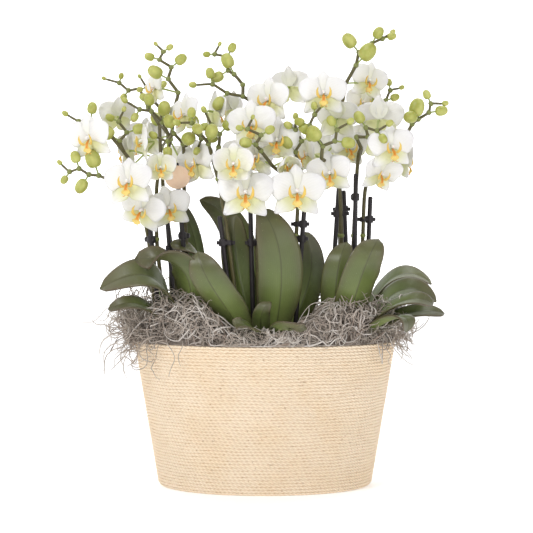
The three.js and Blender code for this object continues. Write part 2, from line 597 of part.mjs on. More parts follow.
// Coarse strands that loop out of the mound, and strands that hang down at the basket's ends.
function mossStrands() {
  const strands = [];
  for (let i = 0; i < MOSS.loops; i++) {
    const turn = (2 * Math.PI * (i + 0.6 * random(i))) / MOSS.loops;
    const swing = turn + 0.26 + 0.2 * random(i + 80);
    const from = vec([128 * Math.cos(turn), 74 * Math.sin(turn), 166]);
    const to = vec([116 * Math.cos(swing), 64 * Math.sin(swing), 170]);
    const top = from.clone().lerp(to, 0.4 + 0.3 * random(i + 7)).add(vec([0, 0, 28 + 14 * random(i + 9)]));
    strands.push(tube([from, top, to], MOSS.strandR, 3, 2));
  }
  for (let i = 0; i < MOSS.hanging; i++) {
    const end = i % 2 ? 1 : -1;
    const y = -30 + 10 * i;
    const drop = (end < 0 ? 60 : 36) * (0.4 + 0.6 * random(i + 3));
    const x = 149 + 8 * random(i + 21);
    strands.push(tube([vec([end * 136, y, 166]), vec([end * x, y + 4, 150 - drop / 3]),
      vec([end * (x - 7 * random(i)), y - 3, 152 - drop])], MOSS.strandR, 3, 1));
  }
  return strands;
}

// Round each plant the moss is open, wider towards the top.
function moss() {
  const wells = Object.values(PLANTS).map(([x, y]) => {
    const well = new THREE.CylinderGeometry(WELL.topR, WELL.footR, WELL.height, 8);
    return placed(well, vec([x, y, MOSS_FOOT + WELL.height / 2 - 1]), vec([0, 0, 1]));
  });
  return joined([mossMound(), ...mossStrands()]).subtract(joined(wells));
}

// Each node in the order of precedence: a later one is cut clear of the earlier ones.
const shown = new THREE.Group();
const placedSolids = [];

function boxesMeet(a, b) {
  return [0, 1, 2].every((k) => a.min[k] < b.max[k] && b.min[k] < a.max[k]);
}

function largest(pieces) {
  return pieces.reduce((best, p) => (p.volume() > best.volume() ? p : best));
}

function add(group, name, made, material, grown) {
  const bounds = made.boundingBox();
  const cutters = placedSolids.filter((other) => other.grown && boxesMeet(bounds, other.bounds));
  const near = cutters.filter((other) => made.intersect(other.grown).volume() > 1e-6).map((other) => other.grown);
  const clear = near.length ? largest(made.subtract(joined(near)).decompose()) : made;
  const { vertProperties, triVerts } = clear.getMesh();
  const geometry = new THREE.BufferGeometry();
  geometry.setAttribute("position", new THREE.BufferAttribute(vertProperties, 3));
  geometry.setIndex(new THREE.BufferAttribute(triVerts, 1));
  const mesh = new THREE.Mesh(geometry, material);
  mesh.name = name;
  group.add(mesh);
  if (grown) placedSolids.push({ grown, bounds: grown.boundingBox() });
}

const finish = (color, roughness) => new THREE.MeshStandardMaterial({ color, roughness, metalness: 0 });
const CORD = finish(0xe8c998, 0.85);
const TUB_PLASTIC = finish(0x9aa0a0, 0.5);
const POT_PLASTIC = finish(0x6a5145, 0.6);
const BARK_BROWN = finish(0x5a3d28, 0.95);
const CROWN_GREEN = finish(0x6f7f45, 0.7);
const STICK_BLACK = finish(0x241f22, 0.45);
const LABEL_CARD = finish(0xf0bf9c, 0.8);
const SPIKE_CREAM = finish(0xeef0dc, 0.6);
const LEAF_GREEN = finish(0x4d6030, 0.5);
const MOSS_GREY = finish(0x948779, 0.95);

const holder = new THREE.Group();
const plants = new THREE.Group();
shown.add(holder, plants);

add(holder, "basket", basket(), CORD);
add(holder, "water_tub", waterTub(), TUB_PLASTIC);
add(holder, "pot_deck", deck(), TUB_PLASTIC);
for (const name of Object.keys(SPIKES)) {
  add(plants, name, spike(SPIKES[name]), SPIKE_CREAM, spike(SPIKES[name], GAP));
}
for (const name of Object.keys(STICKS)) add(plants, name, stick(name), STICK_BLACK, stick(name, GAP));
add(plants, "plant_label", label(), LABEL_CARD);
for (const plant of Object.keys(PLANTS)) {
  add(plants, `crown_${plant}`, crown(plant, 0), CROWN_GREEN, crown(plant, GAP));
}
for (const name of Object.keys(LEAVES)) add(plants, name, leaf(LEAVES[name]), LEAF_GREEN, leaf(LEAVES[name], GAP));
for (const plant of Object.keys(PLANTS)) {
  add(holder, `nursery_pot_${plant}`, pot(plant), POT_PLASTIC);
  add(holder, `bark_${plant}`, bark(plant), BARK_BROWN);
}
add(holder, "moss", moss(), MOSS_GREY);

export default shown;
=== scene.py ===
"""White moth orchids in an oval planter wound from paper cord, dressed with dry moss.

Sizes in the tables are millimetres, with +Z up and the front towards -Y. Each finished mesh is in metres.
"""

import math
import random

import bmesh
import bpy
import numpy as np
from mathutils import Matrix, Vector, noise


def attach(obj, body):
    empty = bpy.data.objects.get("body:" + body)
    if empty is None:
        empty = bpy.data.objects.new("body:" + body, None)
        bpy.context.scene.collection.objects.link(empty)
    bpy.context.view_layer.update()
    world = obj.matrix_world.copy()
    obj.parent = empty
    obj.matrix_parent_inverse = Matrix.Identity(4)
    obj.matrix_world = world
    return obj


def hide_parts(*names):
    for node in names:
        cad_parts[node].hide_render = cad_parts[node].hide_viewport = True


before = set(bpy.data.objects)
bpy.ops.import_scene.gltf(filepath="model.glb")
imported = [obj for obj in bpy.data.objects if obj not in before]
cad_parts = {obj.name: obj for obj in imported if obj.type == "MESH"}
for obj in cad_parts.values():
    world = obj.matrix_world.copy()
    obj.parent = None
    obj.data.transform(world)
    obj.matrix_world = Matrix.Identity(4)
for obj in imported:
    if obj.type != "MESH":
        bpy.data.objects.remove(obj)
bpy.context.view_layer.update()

bl_info = {
    "name": "Orchid planter",
    "version": (1, 0, 0),
    "blender": (4, 5, 0),
    "location": "View3D > Sidebar > Orchid planter",
    "description": "Moth orchids with clipped spikes in a cord-wound planter dressed with moss",
    "category": "Object",
}

MM = 0.001

# The basket's half width and half depth at its rim and at its foot, and its height.
RIM = (137.5, 85)
FOOT = (112, 69)
HEIGHT = 152
# The cord wall. Each band ends on the crest of a turn, so that no seam shows.
ROWS = 47
STEPS_PER_ROW = 4
CORD_SEGMENTS = 640
CORD_BANDS = [
    ("basket_cord_low", 0, 15.5), ("basket_cord_middle", 15.5, 31.5), ("basket_cord_top", 31.5, ROWS),
]
# How far out the cord stands from the wall's outline.
CORD = {"valley": -1.5, "crest": 1.0, "ply": 0.5, "inside": -3.4}
FOOT_ROUNDING = {"height": 4.5, "inset": 3.2}
# How the turns wander up and down: the height, the waves round and the turn from foot to rim.
SAGS = [(0.45, 5, 17), (0.3, 13, -11)]
PLY_STEP = 2.4  # how far the twist moves on from one turn to the next
PLY_SLANT = 0.9 * math.pi
UNDERSIDE = {"turns": 20, "inset": 5.4, "cord": 1.1, "floor": 5.6}
OVAL_SEGMENTS = 160
# The height and inset of the liner's rings, up the outside and down the inside.
LINER = [
    (2, 8.4), (60, 3.6), (110, 3.6), (146, 3.6), (149.6, 3.9),
    (149.6, 4.6), (146, 4.8), (110, 4.8), (60, 4.8), (2, 9),
]

STICK_R = 2.4
STEM_R = 2.2
SHOOT_R = 1.9
PEDICEL_R = 1.0
BUD_GIRTH = 0.42  # greatest radius of a bud as a share of its length
STEM_OFFSET = 6.2  # from a stick's axis to the axis of the stem clipped to it
STEM_HEIGHTS = (178, 222, 262)  # where a stem runs beside its stick, the last one at most
STICK_FOOT = 44.9
# A clip: the heights of its rings round the stick and the stem, and the sizes of its jaws and its bridge.
CLIP = {"collar": 7.5, "ring": 5.2, "jaws": (19, 3.0, 3.8), "bridge": (STEM_OFFSET + 5, 7, 4.4)}
CROWN_R = 11
CROWN_TOP = 133
LEAF_FOOT = 115
LEAF_RISE = {"out": 16, "up": 58}
LEAF_GRID = (14, 44)
LEAF_WIDEST = 0.55  # share of the length at which a leaf is widest
LEAF_FOOT_WIDTH = 0.24  # share of the greatest width where it leaves the crown

# The moss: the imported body's foot, the share of the rim's size it reaches, and its height there. Then the
# lowest that a strand lies on the rim, and each kind of strand with its radius.
MOSS_FOOT = 113.6
MOSS_REACH = 0.985
MOSS_LIP = 152.4
MOSS_LOWEST = 152.9
STRAND_RADII = {"moss_fine": 0.55, "moss_mixed": 0.5, "moss_pale": 0.72}
WISPS, RIM_WISPS, LOOPS = 560, 60, 40
WISP_RADIUS = 0.55

# The camera and the lamps: their places in metres, and each lamp's size and power.
EYE = (0.0016, -1.4, 0.272)
EYE_DIP = math.atan(40.5 / 1333)
LENS, SENSOR = 90, 36
LAMPS = {
    "key": ((-1.3, -1.5, 1.7), 0.9, 25),
    "fill": ((1.5, -1.6, 0.8), 1.2, 9),
    "top": ((0.2, 0.3, 2.0), 0.8, 9),
}
LAMP_AIM = Vector((0, 0, 0.25))
ROOM_LIGHT = 0.42
WHITE = (1, 1, 1, 1)

PLANTS = {"left": [-80, 6], "centre": [0, -14], "right": [80, 6]}

# Sticks: the plant, the foot (x, y), the top (x, y, z) and the heights of its clips.
STICKS = {
    "stick_left_1": ["left", [-98, -2], [-122, -8, 292], [258]],
    "stick_left_2": ["left", [-84, -22], [-103, -14, 300], [248]],
    "stick_left_3": ["left", [-68, -15], [-91, -28, 337], [262]],
    "stick_centre_1": ["centre", [-17, -30], [-46, -50, 282], [255]],
    "stick_centre_2": ["centre", [-9, -37], [-15, -46, 300], [255]],
    "stick_centre_3": ["centre", [22, -22], [41, -40, 300], [274, 259]],
    "stick_right_1": ["right", [60, -8], [78, -5, 325], [285]],
    "stick_right_2": ["right", [95, 23], [84, 25, 310], [290]],
    "stick_right_3": ["right", [91, -15], [94, -20, 326], [302]],
    "stick_right_4": ["right", [101, 6], [111, 5, 303], [279]],
}

# Spikes. stick: which stick, the side (degrees from +X) that the stem is clipped to, and the side of
# the crown it grows from.
# stem: the points it passes above the stick. shoots: the joints of each zigzag side shoot, then the
# first joint that bears a bud and the lengths of the first and last bud.
# blooms: middle x, y, z; the way it faces as yaw (0 is the front, 90 is +X), pitch and roll; width; cupping.
SPIKES = {
    "spike_left_1": {
        "stick": ["stick_left_1", 125, 190],
        "stem": [[-130, -25, 309], [-135, -35, 334], [-144, -32, 347]],
        "shoots": [
            [[[-135, -35, 334], [-146, -48, 322], [-158, -50, 319], [-168, -50, 323], [-178, -50, 324],
                [-188, -49, 330],
                [-198, -47, 327], [-206, -45, 334]], 3, 19, 6],
            [[[-144, -32, 347], [-149, -30, 359], [-142, -28, 368], [-150, -28, 379],
                [-146, -26, 389]], 1, 17, 6],
            [[[-144, -32, 347], [-158, -31, 364], [-172, -28, 368], [-179, -25, 381], [-192, -22, 380],
                [-203, -20, 386]],
                2, 15, 7],
        ],
        "blooms": [
            [-176, -58, 360, -22, -12, 6, 52, 0.1], [-154, -6, 386, -155, 20, 0, 44, 0.3],
            [-122, -42, 357, -78, 6, -12, 48, 0.1], [-136, -74, 315, -10, 8, 4, 54, 0],
            [-124, -56, 288, -14, -12, -20, 52, 0], [-106, -52, 330, 14, 8, 0, 38, 0.7],
            [-98, -40, 290, 8, -4, 12, 48, 0.1],
        ],
    },
    "spike_left_2": {
        "stick": ["stick_left_2", 75, 242],
        "stem": [[-107, -9, 325], [-98, -12, 362], [-93, -15, 397]],
        "shoots": [
            [[[-93, -15, 397], [-90, -15, 410], [-100, -16, 424], [-97, -16, 436], [-109, -16, 444],
                [-105, -17, 452],
                [-111, -17, 458]], 2, 16, 5],
            [[[-98, -12, 362], [-106, -18, 379], [-117, -22, 390], [-129, -24, 392],
                [-141, -26, 399]], 1, 16, 7],
        ],
        "blooms": [[-116, 10, 417, -60, 0, 10, 42, 0.1], [-82, -36, 385, -48, 6, 8, 48, 0.1]],
    },
    "spike_left_3": {
        "stick": ["stick_left_1", 30, 160],
        "stem": [[-114, 4, 312], [-111, 20, 342], [-113, 30, 380]],
        "shoots": [
            [[[-113, 30, 380], [-110, 34, 395], [-119, 35, 406], [-116, 36, 417], [-127, 36, 421],
                [-133, 35, 430]],
                2, 11, 5],
            [[[-113, 30, 380], [-126, 42, 400], [-136, 47, 420], [-148, 50, 419], [-158, 50, 427],
                [-172, 50, 431]],
                3, 9, 5],
            [[[-111, 20, 342], [-112, 44, 356], [-106, 62, 370], [-116, 74, 384]], 3, 16, 14],
        ],
        "blooms": [[-132, 76, 368, -150, 4, 0, 50, 0.1], [-92, 84, 343, 172, -6, 10, 50, 0.1],
            [-146, 24, 352, -105, 4, 0, 46, 0.2]],
    },
    "spike_left_4": {
        "stick": ["stick_left_3", 60, 292],
        "stem": [[-84, -16, 345], [-76, -22, 362]],
        "shoots": [
            [[[-84, -16, 345], [-84, -34, 356], [-93, -42, 366], [-99, -44, 358], [-109, -46, 362]], 1, 17, 9],
            [[[-76, -22, 362], [-72, -33, 368], [-65, -36, 361], [-68, -40, 352]], 1, 14, 9],
        ],
        "blooms": [[-70, -30, 336, -42, -2, 6, 52, 0.1]],
    },
    "spike_centre_1": {
        "stick": ["stick_centre_1", 5, 215],
        "stem": [[-44, -42, 300], [-48, -38, 320], [-53, -40, 339]],
        "shoots": [
            [[[-53, -40, 339], [-57, -52, 355], [-65, -60, 365], [-73, -64, 375], [-84, -65, 375]], 1, 16, 8],
            [[[-53, -40, 339], [-47, -44, 352], [-46, -46, 365], [-54, -50, 374], [-60, -52, 386]], 2, 14, 7],
        ],
        "blooms": [[-31, -84, 332, 0, 6, 0, 48, 0.6], [-19, -78, 304, 0, 6, 0, 59, 0],
            [-52, -14, 390, 118, 0, 0, 46, 0.2]],
    },
    "spike_centre_2": {
        "stick": ["stick_centre_2", 15, 255],
        "stem": [[-6, -24, 318], [-2, -10, 345], [-1, -12, 382], [-11, -14, 399]],
        "shoots": [
            [[[-11, -14, 399], [-23, -18, 406], [-39, -20, 409], [-54, -22, 418], [-70, -24, 417]], 2, 15, 8],
            [[[-23, -18, 406], [-23, -16, 418], [-32, -15, 429], [-38, -14, 433], [-39, -14, 447],
                [-52, -13, 450],
                [-48, -13, 458]], 2, 16, 5],
            [[[-2, -10, 345], [2, 24, 356], [8, 48, 372], [0, 64, 388]], 3, 16, 14],
        ],
        "blooms": [[3, -34, 400, -26, 4, 0, 51, 0.1], [-13, -58, 373, -14, 2, 6, 53, 0],
            [26, 12, 418, 150, 10, 0, 48, 0.2], [-34, 14, 394, -125, 4, 0, 45, 0.2],
            [-24, 82, 350, 168, 0, 0, 50, 0.1], [22, 86, 362, -168, 2, 10, 50, 0.1]],
    },
    "spike_centre_3": {
        "stick": ["stick_centre_3", 170, 338],
        "stem": [[33, -40, 303], [24, -45, 319], [8, -58, 332]],
        "shoots": [
            [[[8, -58, 332], [-4, -68, 347], [-9, -74, 353], [-4, -76, 362], [-17, -78, 368],
                [-13, -78, 377]], 2, 13, 5],
            [[[33, -40, 303], [36, -38, 329], [31, -44, 347], [37, -48, 358], [31, -50, 369],
                [31, -50, 379]], 2, 14, 7],
        ],
        "blooms": [[32, -76, 305, 0, 6, 0, 58, 0], [12, -48, 358, -4, 0, 0, 51, 0],
            [-9, -36, 342, -18, 0, -8, 46, 0.2], [21, -62, 334, 30, -26, 0, 33, 0.9]],
    },
    "spike_right_1": {
        "stick": ["stick_right_1", 350, 240],
        "stem": [[76, -16, 328], [64, -40, 336], [57, -58, 340]],
        "shoots": [
            [[[57, -58, 340], [58, -62, 352], [70, -64, 357], [72, -66, 368], [82, -66, 374]], 1, 17, 8],
            [[[58, -62, 352], [50, -58, 363], [45, -56, 373], [50, -55, 384], [56, -55, 391]], 1, 13, 6],
        ],
        "blooms": [[66, -48, 325, -10, -6, 8, 49, 0.1], [86, -14, 353, 24, 0, 0, 47, 0.2],
            [75, -24, 382, 165, 16, 0, 50, 0.1], [45, -6, 346, -62, 0, 0, 44, 0.3]],
    },
    "spike_right_2": {
        "stick": ["stick_right_2", 165, 80],
        "stem": [[79, 18, 340], [77, 2, 374], [84, -14, 420]],
        "shoots": [
            [[[84, -14, 420], [94, -18, 438], [97, -19, 451], [110, -20, 460], [121, -20, 465],
                [129, -20, 470]],
                1, 20, 6],
            [[[79, 18, 340], [90, 40, 358], [88, 60, 374], [96, 72, 388]], 3, 16, 14],
        ],
        "blooms": [[59, -50, 405, 0, 8, 0, 52, 0], [109, 8, 424, 16, 0, -14, 45, 0.1],
            [68, 84, 352, 178, 0, 0, 50, 0.1], [112, 80, 366, 150, 2, 0, 50, 0.1]],
    },
    "spike_right_3": {
        "stick": ["stick_right_3", 100, 300],
        "stem": [[96, -18, 338], [98, -38, 352]],
        "shoots": [
            [[[98, -38, 352], [93, -46, 362], [104, -50, 362], [102, -52, 371], [113, -54, 368],
                [122, -55, 373]],
                3, 13, 8],
            [[[96, -18, 338], [107, 4, 372], [117, 15, 394], [128, 18, 405], [133, 20, 416],
                [142, 20, 418]], 2, 12, 6],
        ],
        "blooms": [[118, -20, 381, 168, 12, 0, 53, 0.1], [104, 24, 403, 20, 0, 0, 43, 0.2]],
    },
    "spike_right_4": {
        "stick": ["stick_right_4", 180, 358],
        "stem": [[106, -2, 315], [124, -14, 342], [144, -18, 362]],
        "shoots": [
            [[[144, -18, 362], [152, -20, 377], [158, -22, 382], [169, -22, 389], [171, -22, 398],
                [182, -22, 398]],
                1, 19, 7],
        ],
        "blooms": [[128, -50, 351, 12, 0, 4, 51, 0], [118, -34, 326, 26, -22, -8, 47, 0.2],
            [148, 30, 340, 104, 0, 0, 47, 0.2]],
    },
}

# Leaves: the plant, the side of the crown they grow from and the side their underside looks to
# (degrees from +X), how far the blade rolls sideways (degrees), a point halfway along the midrib,
# the tip, and the greatest width.
LEAVES = {
    "leaf_left_1": ["left", 208, 205, -38, [-102, -36, 202], [-168, -46, 208], 46],
    "leaf_left_2": ["left", 262, 240, -8, [-74, -52, 204], [-132, -50, 238], 44],
    "leaf_left_3": ["left", 60, 300, 30, [-72, 34, 224], [-102, 14, 298], 20],
    "leaf_left_4": ["left", 215, 215, -35, [-112, -42, 182], [-158, -60, 188], 22],
    "leaf_left_5": ["left", 150, 160, 0, [-118, 36, 200], [-146, 52, 214], 38],
    "leaf_left_6": ["left", 95, 96, 0, [-84, 54, 204], [-86, 92, 214], 42],
    "leaf_centre_1": ["centre", 292, 280, 0, [16, -60, 206], [-4, -66, 290], 46],
    "leaf_centre_2": ["centre", 232, 258, 0, [-38, -66, 190], [-66, -74, 246], 38],
    "leaf_centre_3": ["centre", 190, 230, -35, [-44, -24, 206], [-98, -24, 254], 28],
    "leaf_centre_4": ["centre", 160, 262, 0, [-20, 2, 222], [-69, 6, 300], 34],
    "leaf_centre_5": ["centre", 240, 272, 0, [-23, -40, 206], [-30, -36, 284], 32],
    "leaf_centre_6": ["centre", 340, 282, 0, [40, -14, 196], [40, -6, 266], 32],
    "leaf_centre_7": ["centre", 268, 262, 0, [-4, -58, 172], [5, -72, 196], 18],
    "leaf_centre_8": ["centre", 290, 320, -25, [14, -78, 168], [40, -96, 171], 20],
    "leaf_centre_9": ["centre", 262, 225, -25, [-10, -76, 168], [-32, -92, 177], 18],
    "leaf_centre_10": ["centre", 112, 104, 0, [-20, 38, 204], [-26, 88, 214], 42],
    "leaf_centre_11": ["centre", 64, 70, 0, [26, 34, 200], [34, 88, 214], 40],
    "leaf_right_1": ["right", 276, 286, 0, [90, -58, 200], [114, -62, 258], 38],
    "leaf_right_2": ["right", 250, 262, 0, [72, -38, 198], [84, -34, 256], 32],
    "leaf_right_3": ["right", 10, 350, 25, [120, 8, 200], [176, 2, 211], 32],
    "leaf_right_4": ["right", 340, 340, 38, [122, -22, 192], [177, -28, 194], 34],
    "leaf_right_5": ["right", 318, 330, 30, [120, -48, 184], [170, -60, 194], 24],
    "leaf_right_6": ["right", 330, 345, 30, [128, -32, 175], [183, -44, 183], 24],
    "leaf_right_7": ["right", 306, 312, 0, [120, -62, 176], [140, -84, 167], 24],
    "leaf_right_8": ["right", 72, 70, 0, [98, 50, 204], [118, 88, 208], 42],
}

# The blank label: its stick, its height, its half sizes and its thickness.
LABEL = {"stick": "stick_left_3", "z": 322, "halfX": 13, "halfZ": 12, "thick": 1.6}


# Settings
def shade(code):
    """A web colour as the linear colour that shaders take."""
    values = [int(code[i : i + 2], 16) / 255 for i in (0, 2, 4)]
    return [v / 12.92 if v <= 0.04045 else ((v + 0.055) / 1.055) ** 2.4 for v in values]


def colour(name, description, code):
    return bpy.props.FloatVectorProperty(
        name=name, description=description, default=shade(code), size=3, min=0, max=1, subtype="COLOR"
    )


def size(name, description, millimetres):
    return bpy.props.FloatProperty(
        name=name, description=description, default=millimetres * MM, min=0, subtype="DISTANCE", unit="LENGTH"
    )


class OrchidFlowerSettings(bpy.types.PropertyGroup):
    petal_thickness: size("Petal thickness", "Thickness of petals and sepals", 0.7)
    leaf_thickness: size("Leaf thickness", "Thickness of a leaf between its midrib and its edge", 1.5)
    petal: colour("Petal", "Colour of the petals", "F1EFEF")
    petal_base: colour("Petal base", "Tint at the foot of the petals and on the sepals", "D9DB93")
    lip: colour("Lip", "Colour of the lip's lobes", "EDD27A")
    lip_heart: colour("Lip heart", "Colour of the middle of the lip", "D8820F")
    bud: colour("Bud", "Colour of most of a bud", "A0A445")
    # Painted highlight: a lighter yellow-green laid in random patches over each bud.
    bud_painted_highlight: colour("Pale bud", "Colour of a bud's lighter patches", "C4C573")
    stem: colour("Stem", "Colour of the flower stems", "5E5434")
    stalk: colour("Stalk", "Colour of the stalks of blooms and buds", "A9B866")
    leaf: colour("Leaf", "Colour of the leaves", "515A30")
    leaf_edge: colour("Leaf edge", "Tinge at the edges and tips of the leaves", "6A5647")


class OrchidPlanterSettings(bpy.types.PropertyGroup):
    twist_pitch: size("Twist", "Distance between two bulges of the twisted cord", 4.8)
    cord: colour("Cord", "Colour of the paper cord", "FFEDD4")
    cord_shadow: colour("Cord shadow", "Colour between the turns of cord", "D0A36C")
    moss: colour("Moss", "Colour of most of the moss", "BEB1A5")
    moss_pale: colour("Pale moss", "Colour of the thick pale strands", "E2DBD5")
    moss_brown: colour("Brown moss", "Colour of the dead strands", "8D705D")
    moss_strands: bpy.props.IntProperty(
        name="Moss strands", description="Strands in the tangle", default=4200, min=1
    )
    stick: colour("Stick", "Colour of the sticks and clips", "221C20")
    label: colour("Label", "Colour of the blank label", "FFE0C8")


# Curves and small sums
def steady(n):
    """The same 0 to 1 for the same n."""
    value = math.sin(n * 127.1 + 311.7) * 43758.5453
    return value - math.floor(value)


def lerp(a, b, t):
    return a + (b - a) * t


def smoothstep(x, low, high):
    t = min(1, max(0, (x - low) / (high - low)))
    return t * t * (3 - 2 * t)


def on_oval(half, turn):
    """The place on an oval of the given half width and half depth."""
    return Vector((half[0] * math.cos(turn), half[1] * math.sin(turn), 0))


def compass(degrees):
    """The level direction at an angle from +X."""
    return on_oval((1, 1), math.radians(degrees))


def through(points, steps, pull=0.5):
    """A smooth path through the points. A smaller pull keeps more of a zigzag's corners."""
    path = []
    for k in range(len(points) - 1):
        a, b = points[k], points[k + 1]
        before = points[k - 1] if k else a
        after = points[k + 2] if k + 2 < len(points) else b
        leave, arrive = (b - before) * pull, (after - a) * pull
        for i in range(steps):
            t = i / steps
            path.append(
                a * (2 * t**3 - 3 * t**2 + 1)
                + leave * (t**3 - 2 * t**2 + t)
                + b * (3 * t**2 - 2 * t**3)
                + arrive * (t**3 - t**2)
            )
    return [*path, points[-1].copy()]


def frames_along(path):
    """(point, right, up, forward) at each point of a path, turning as little as possible."""
    last = len(path) - 1
    forward = [(path[min(i + 1, last)] - path[max(i - 1, 0)]).normalized() for i in range(len(path))]
    guide = Vector((0, -1, 0)) if abs(forward[0].y) < 0.8 else Vector((1, 0, 0))
    rows = []
    for point, ahead in zip(path, forward):
        right = (guide - ahead * guide.dot(ahead)).normalized()
        rows.append((point, right, ahead.cross(right), ahead))
        guide = right
    return rows


# Mesh making
MARKS = ("along", "across", "tint")  # numbers kept on each vertex for the materials


def fresh():
    """An empty bmesh that can keep the marks."""
    bm = bmesh.new()
    for mark in MARKS:
        bm.verts.layers.float.new(mark)
    return bm


def mark(bm, vert, along, across, tint):
    """Keeps a vertex's marks."""
    for name, value in zip(MARKS, (along, across, tint)):
        vert[bm.verts.layers.float[name]] = value


def append(whole, part, finish=0):
    """Adds a part to the whole with its place in the list of finishes."""
    for face in part.faces:
        face.smooth = True
        face.material_index = finish
    mesh = bpy.data.meshes.new("part")
    part.to_mesh(mesh)
    part.free()
    whole.from_mesh(mesh)
    bpy.data.meshes.remove(mesh)


def show(name, mesh, finishes, replaced):
    """A finished piece from a mesh in millimetres, in the place of nodes of the solids."""
    mesh.transform(Matrix.Scale(MM, 4))
    for finish in finishes:
        mesh.materials.append(finish)
    piece = bpy.data.objects.new(name, mesh)
    bpy.context.scene.collection.objects.link(piece)
    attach(piece, "root")
    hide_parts(*replaced)


def mesh_of(name, bm):
    """A mesh from a bmesh, which is freed."""
    mesh = bpy.data.meshes.new(name)
    bm.to_mesh(mesh)
    bm.free()
    return mesh


def smooth(bm):
    for face in bm.faces:
        face.smooth = True


def outward(bm):
    """Turns the faces outward and shades them smoothly."""
    bmesh.ops.recalc_face_normals(bm, faces=bm.faces)
    smooth(bm)


def sleeve(segments, rings, closed):
    """An upright cylinder of radius 1 and height 1 with rings of points, and with caps if it is closed."""
    bm = fresh()
    bmesh.ops.create_cone(bm, cap_ends=closed, segments=segments, radius1=1, radius2=1, depth=1)
    upright = [e for e in bm.edges if abs(e.verts[0].co.z - e.verts[1].co.z) > 0.5]
    if rings > 2:
        bmesh.ops.subdivide_edges(bm, edges=upright, cuts=rings - 2)
    return bm


def tube(path, radius, sides, tint=0):
    """A round stalk along a path. radius is a formula of the share of the way along."""
    bm = sleeve(sides, len(path), True)
    rows = frames_along(path)
    for vert in bm.verts:
        share = vert.co.z + 0.5
        point, right, up, _ = rows[round(share * (len(path) - 1))]
        mark(bm, vert, share, 0, tint)
        vert.co = point + (right * vert.co.x + up * vert.co.y) * radius(share)
    outward(bm)
    return bm


def blade(segments, place, thickness, tint=0):
    """A thin petal or lobe. place takes the share along it and the share across it, -1 to 1."""
    bm = fresh()
    bmesh.ops.create_grid(bm, x_segments=segments[0], y_segments=segments[1], size=1)
    for vert in bm.verts:
        u, v = vert.co.x, vert.co.y
        across, y = u * math.sqrt(1 - v * v / 2), v * math.sqrt(1 - u * u / 2)
        mark(bm, vert, (y + 1) / 2, across, tint)
        vert.co = place((y + 1) / 2, across)
    thicken(bm, thickness)
    return bm


def thicken(bm, thickness):
    """Gives a sheet its thickness, with its faces outward."""
    outward(bm)
    bmesh.ops.solidify(bm, geom=bm.faces[:], thickness=thickness)
    outward(bm)


# Materials
class Wire:
    """A shader socket that takes part in sums."""

    def __init__(self, finish, socket):
        self.finish, self.socket = finish, socket

    def __add__(self, other):
        return self.finish.maths("ADD", self, other)

    def __sub__(self, other):
        return self.finish.maths("SUBTRACT", self, other)

    def __rsub__(self, other):
        return self.finish.maths("SUBTRACT", other, self)

    def __mul__(self, other):
        return self.finish.maths("MULTIPLY", self, other)

    def __truediv__(self, other):
        return self.finish.maths("DIVIDE", self, other)

    __radd__, __rmul__ = __add__, __mul__

    def sine(self):
        return self.finish.maths("SINE", self)

    def wave(self):
        """A sine between 0 and 1."""
        return self.sine() * 0.5 + 0.5

    def floor(self):
        return self.finish.maths("FLOOR", self)

    def size(self):
        return self.finish.maths("ABSOLUTE", self)

    def at_least(self, low):
        return self.finish.maths("MAXIMUM", self, low)

    def ramp(self, low, high):
        """0 below low and 1 above high, smooth between them."""
        settings = {"interpolation_type": "SMOOTHSTEP"}
        return self.finish.node("ShaderNodeMapRange", settings, {0: self, 1: low, 2: high, 3: 0.0, 4: 1.0})


class Finish:
    """A node material in the making."""

    def __init__(self, name, **constants):
        self.material = bpy.data.materials.new(name)
        self.material.use_nodes = True
        self.tree = self.material.node_tree
        self.skin = self.tree.nodes["Principled BSDF"]
        for key, value in constants.items():
            self.skin.inputs[key.replace("_", " ").title().replace("Ior", "IOR")].default_value = value

    def node(self, kind, settings=None, inputs=None, output=0):
        made = self.tree.nodes.new(kind)
        for key, value in (settings or {}).items():
            setattr(made, key, value)
        for key, value in (inputs or {}).items():
            self.feed(made.inputs[key], value)
        return Wire(self, made.outputs[output])

    def feed(self, socket, value):
        if isinstance(value, Wire):
            self.tree.links.new(value.socket, socket)
        elif socket.type == "RGBA" and len(value) == 3:
            socket.default_value = (*value, 1)
        else:
            socket.default_value = value

    def maths(self, operation, *values):
        return self.node("ShaderNodeMath", {"operation": operation}, dict(enumerate(values)))

    def place(self):
        """The place on the object, in metres."""
        return self.node("ShaderNodeTexCoord", output=3)

    def xyz(self):
        split = self.node("ShaderNodeSeparateXYZ", {}, {0: self.place()})
        return [Wire(self, socket) for socket in split.socket.node.outputs]

    def read(self, name):
        """A number kept on the vertices."""
        return self.node("ShaderNodeAttribute", {"attribute_name": name}, output=2)

    def noise(self, scale, detail=3, rough=0.55, where=None):
        inputs = {"Vector": where or self.place(), "Scale": scale, "Detail": detail, "Roughness": rough}
        return self.node("ShaderNodeTexNoise", {}, inputs)

    def streaks(self, scale, detail=4, rough=0.6):
        """Noise with its own scale along x, y and z."""
        inputs = {"Vector": self.place(), "Scale": scale}
        return self.noise(1.0, detail, rough, self.node("ShaderNodeMapping", {"vector_type": "POINT"}, inputs))

    def cells(self, scale, output=0):
        return self.node("ShaderNodeTexVoronoi", {}, {"Vector": self.place(), "Scale": scale}, output)

    def mix(self, share, a, b, how="MIX"):
        settings = {"data_type": "RGBA", "blend_type": how}
        return self.node("ShaderNodeMix", settings, {0: share, 6: a, 7: b}, 2)

    def done(self, colour, roughness=None, height=None, relief=0.0003, strength=1.0):
        self.feed(self.skin.inputs["Base Color"], colour)
        if roughness is not None:
            self.feed(self.skin.inputs["Roughness"], roughness)
        if height is not None:
            bump = self.node("ShaderNodeBump", {}, {"Height": height, "Distance": relief, "Strength": strength})
            self.feed(self.skin.inputs["Normal"], bump)
        return self.material


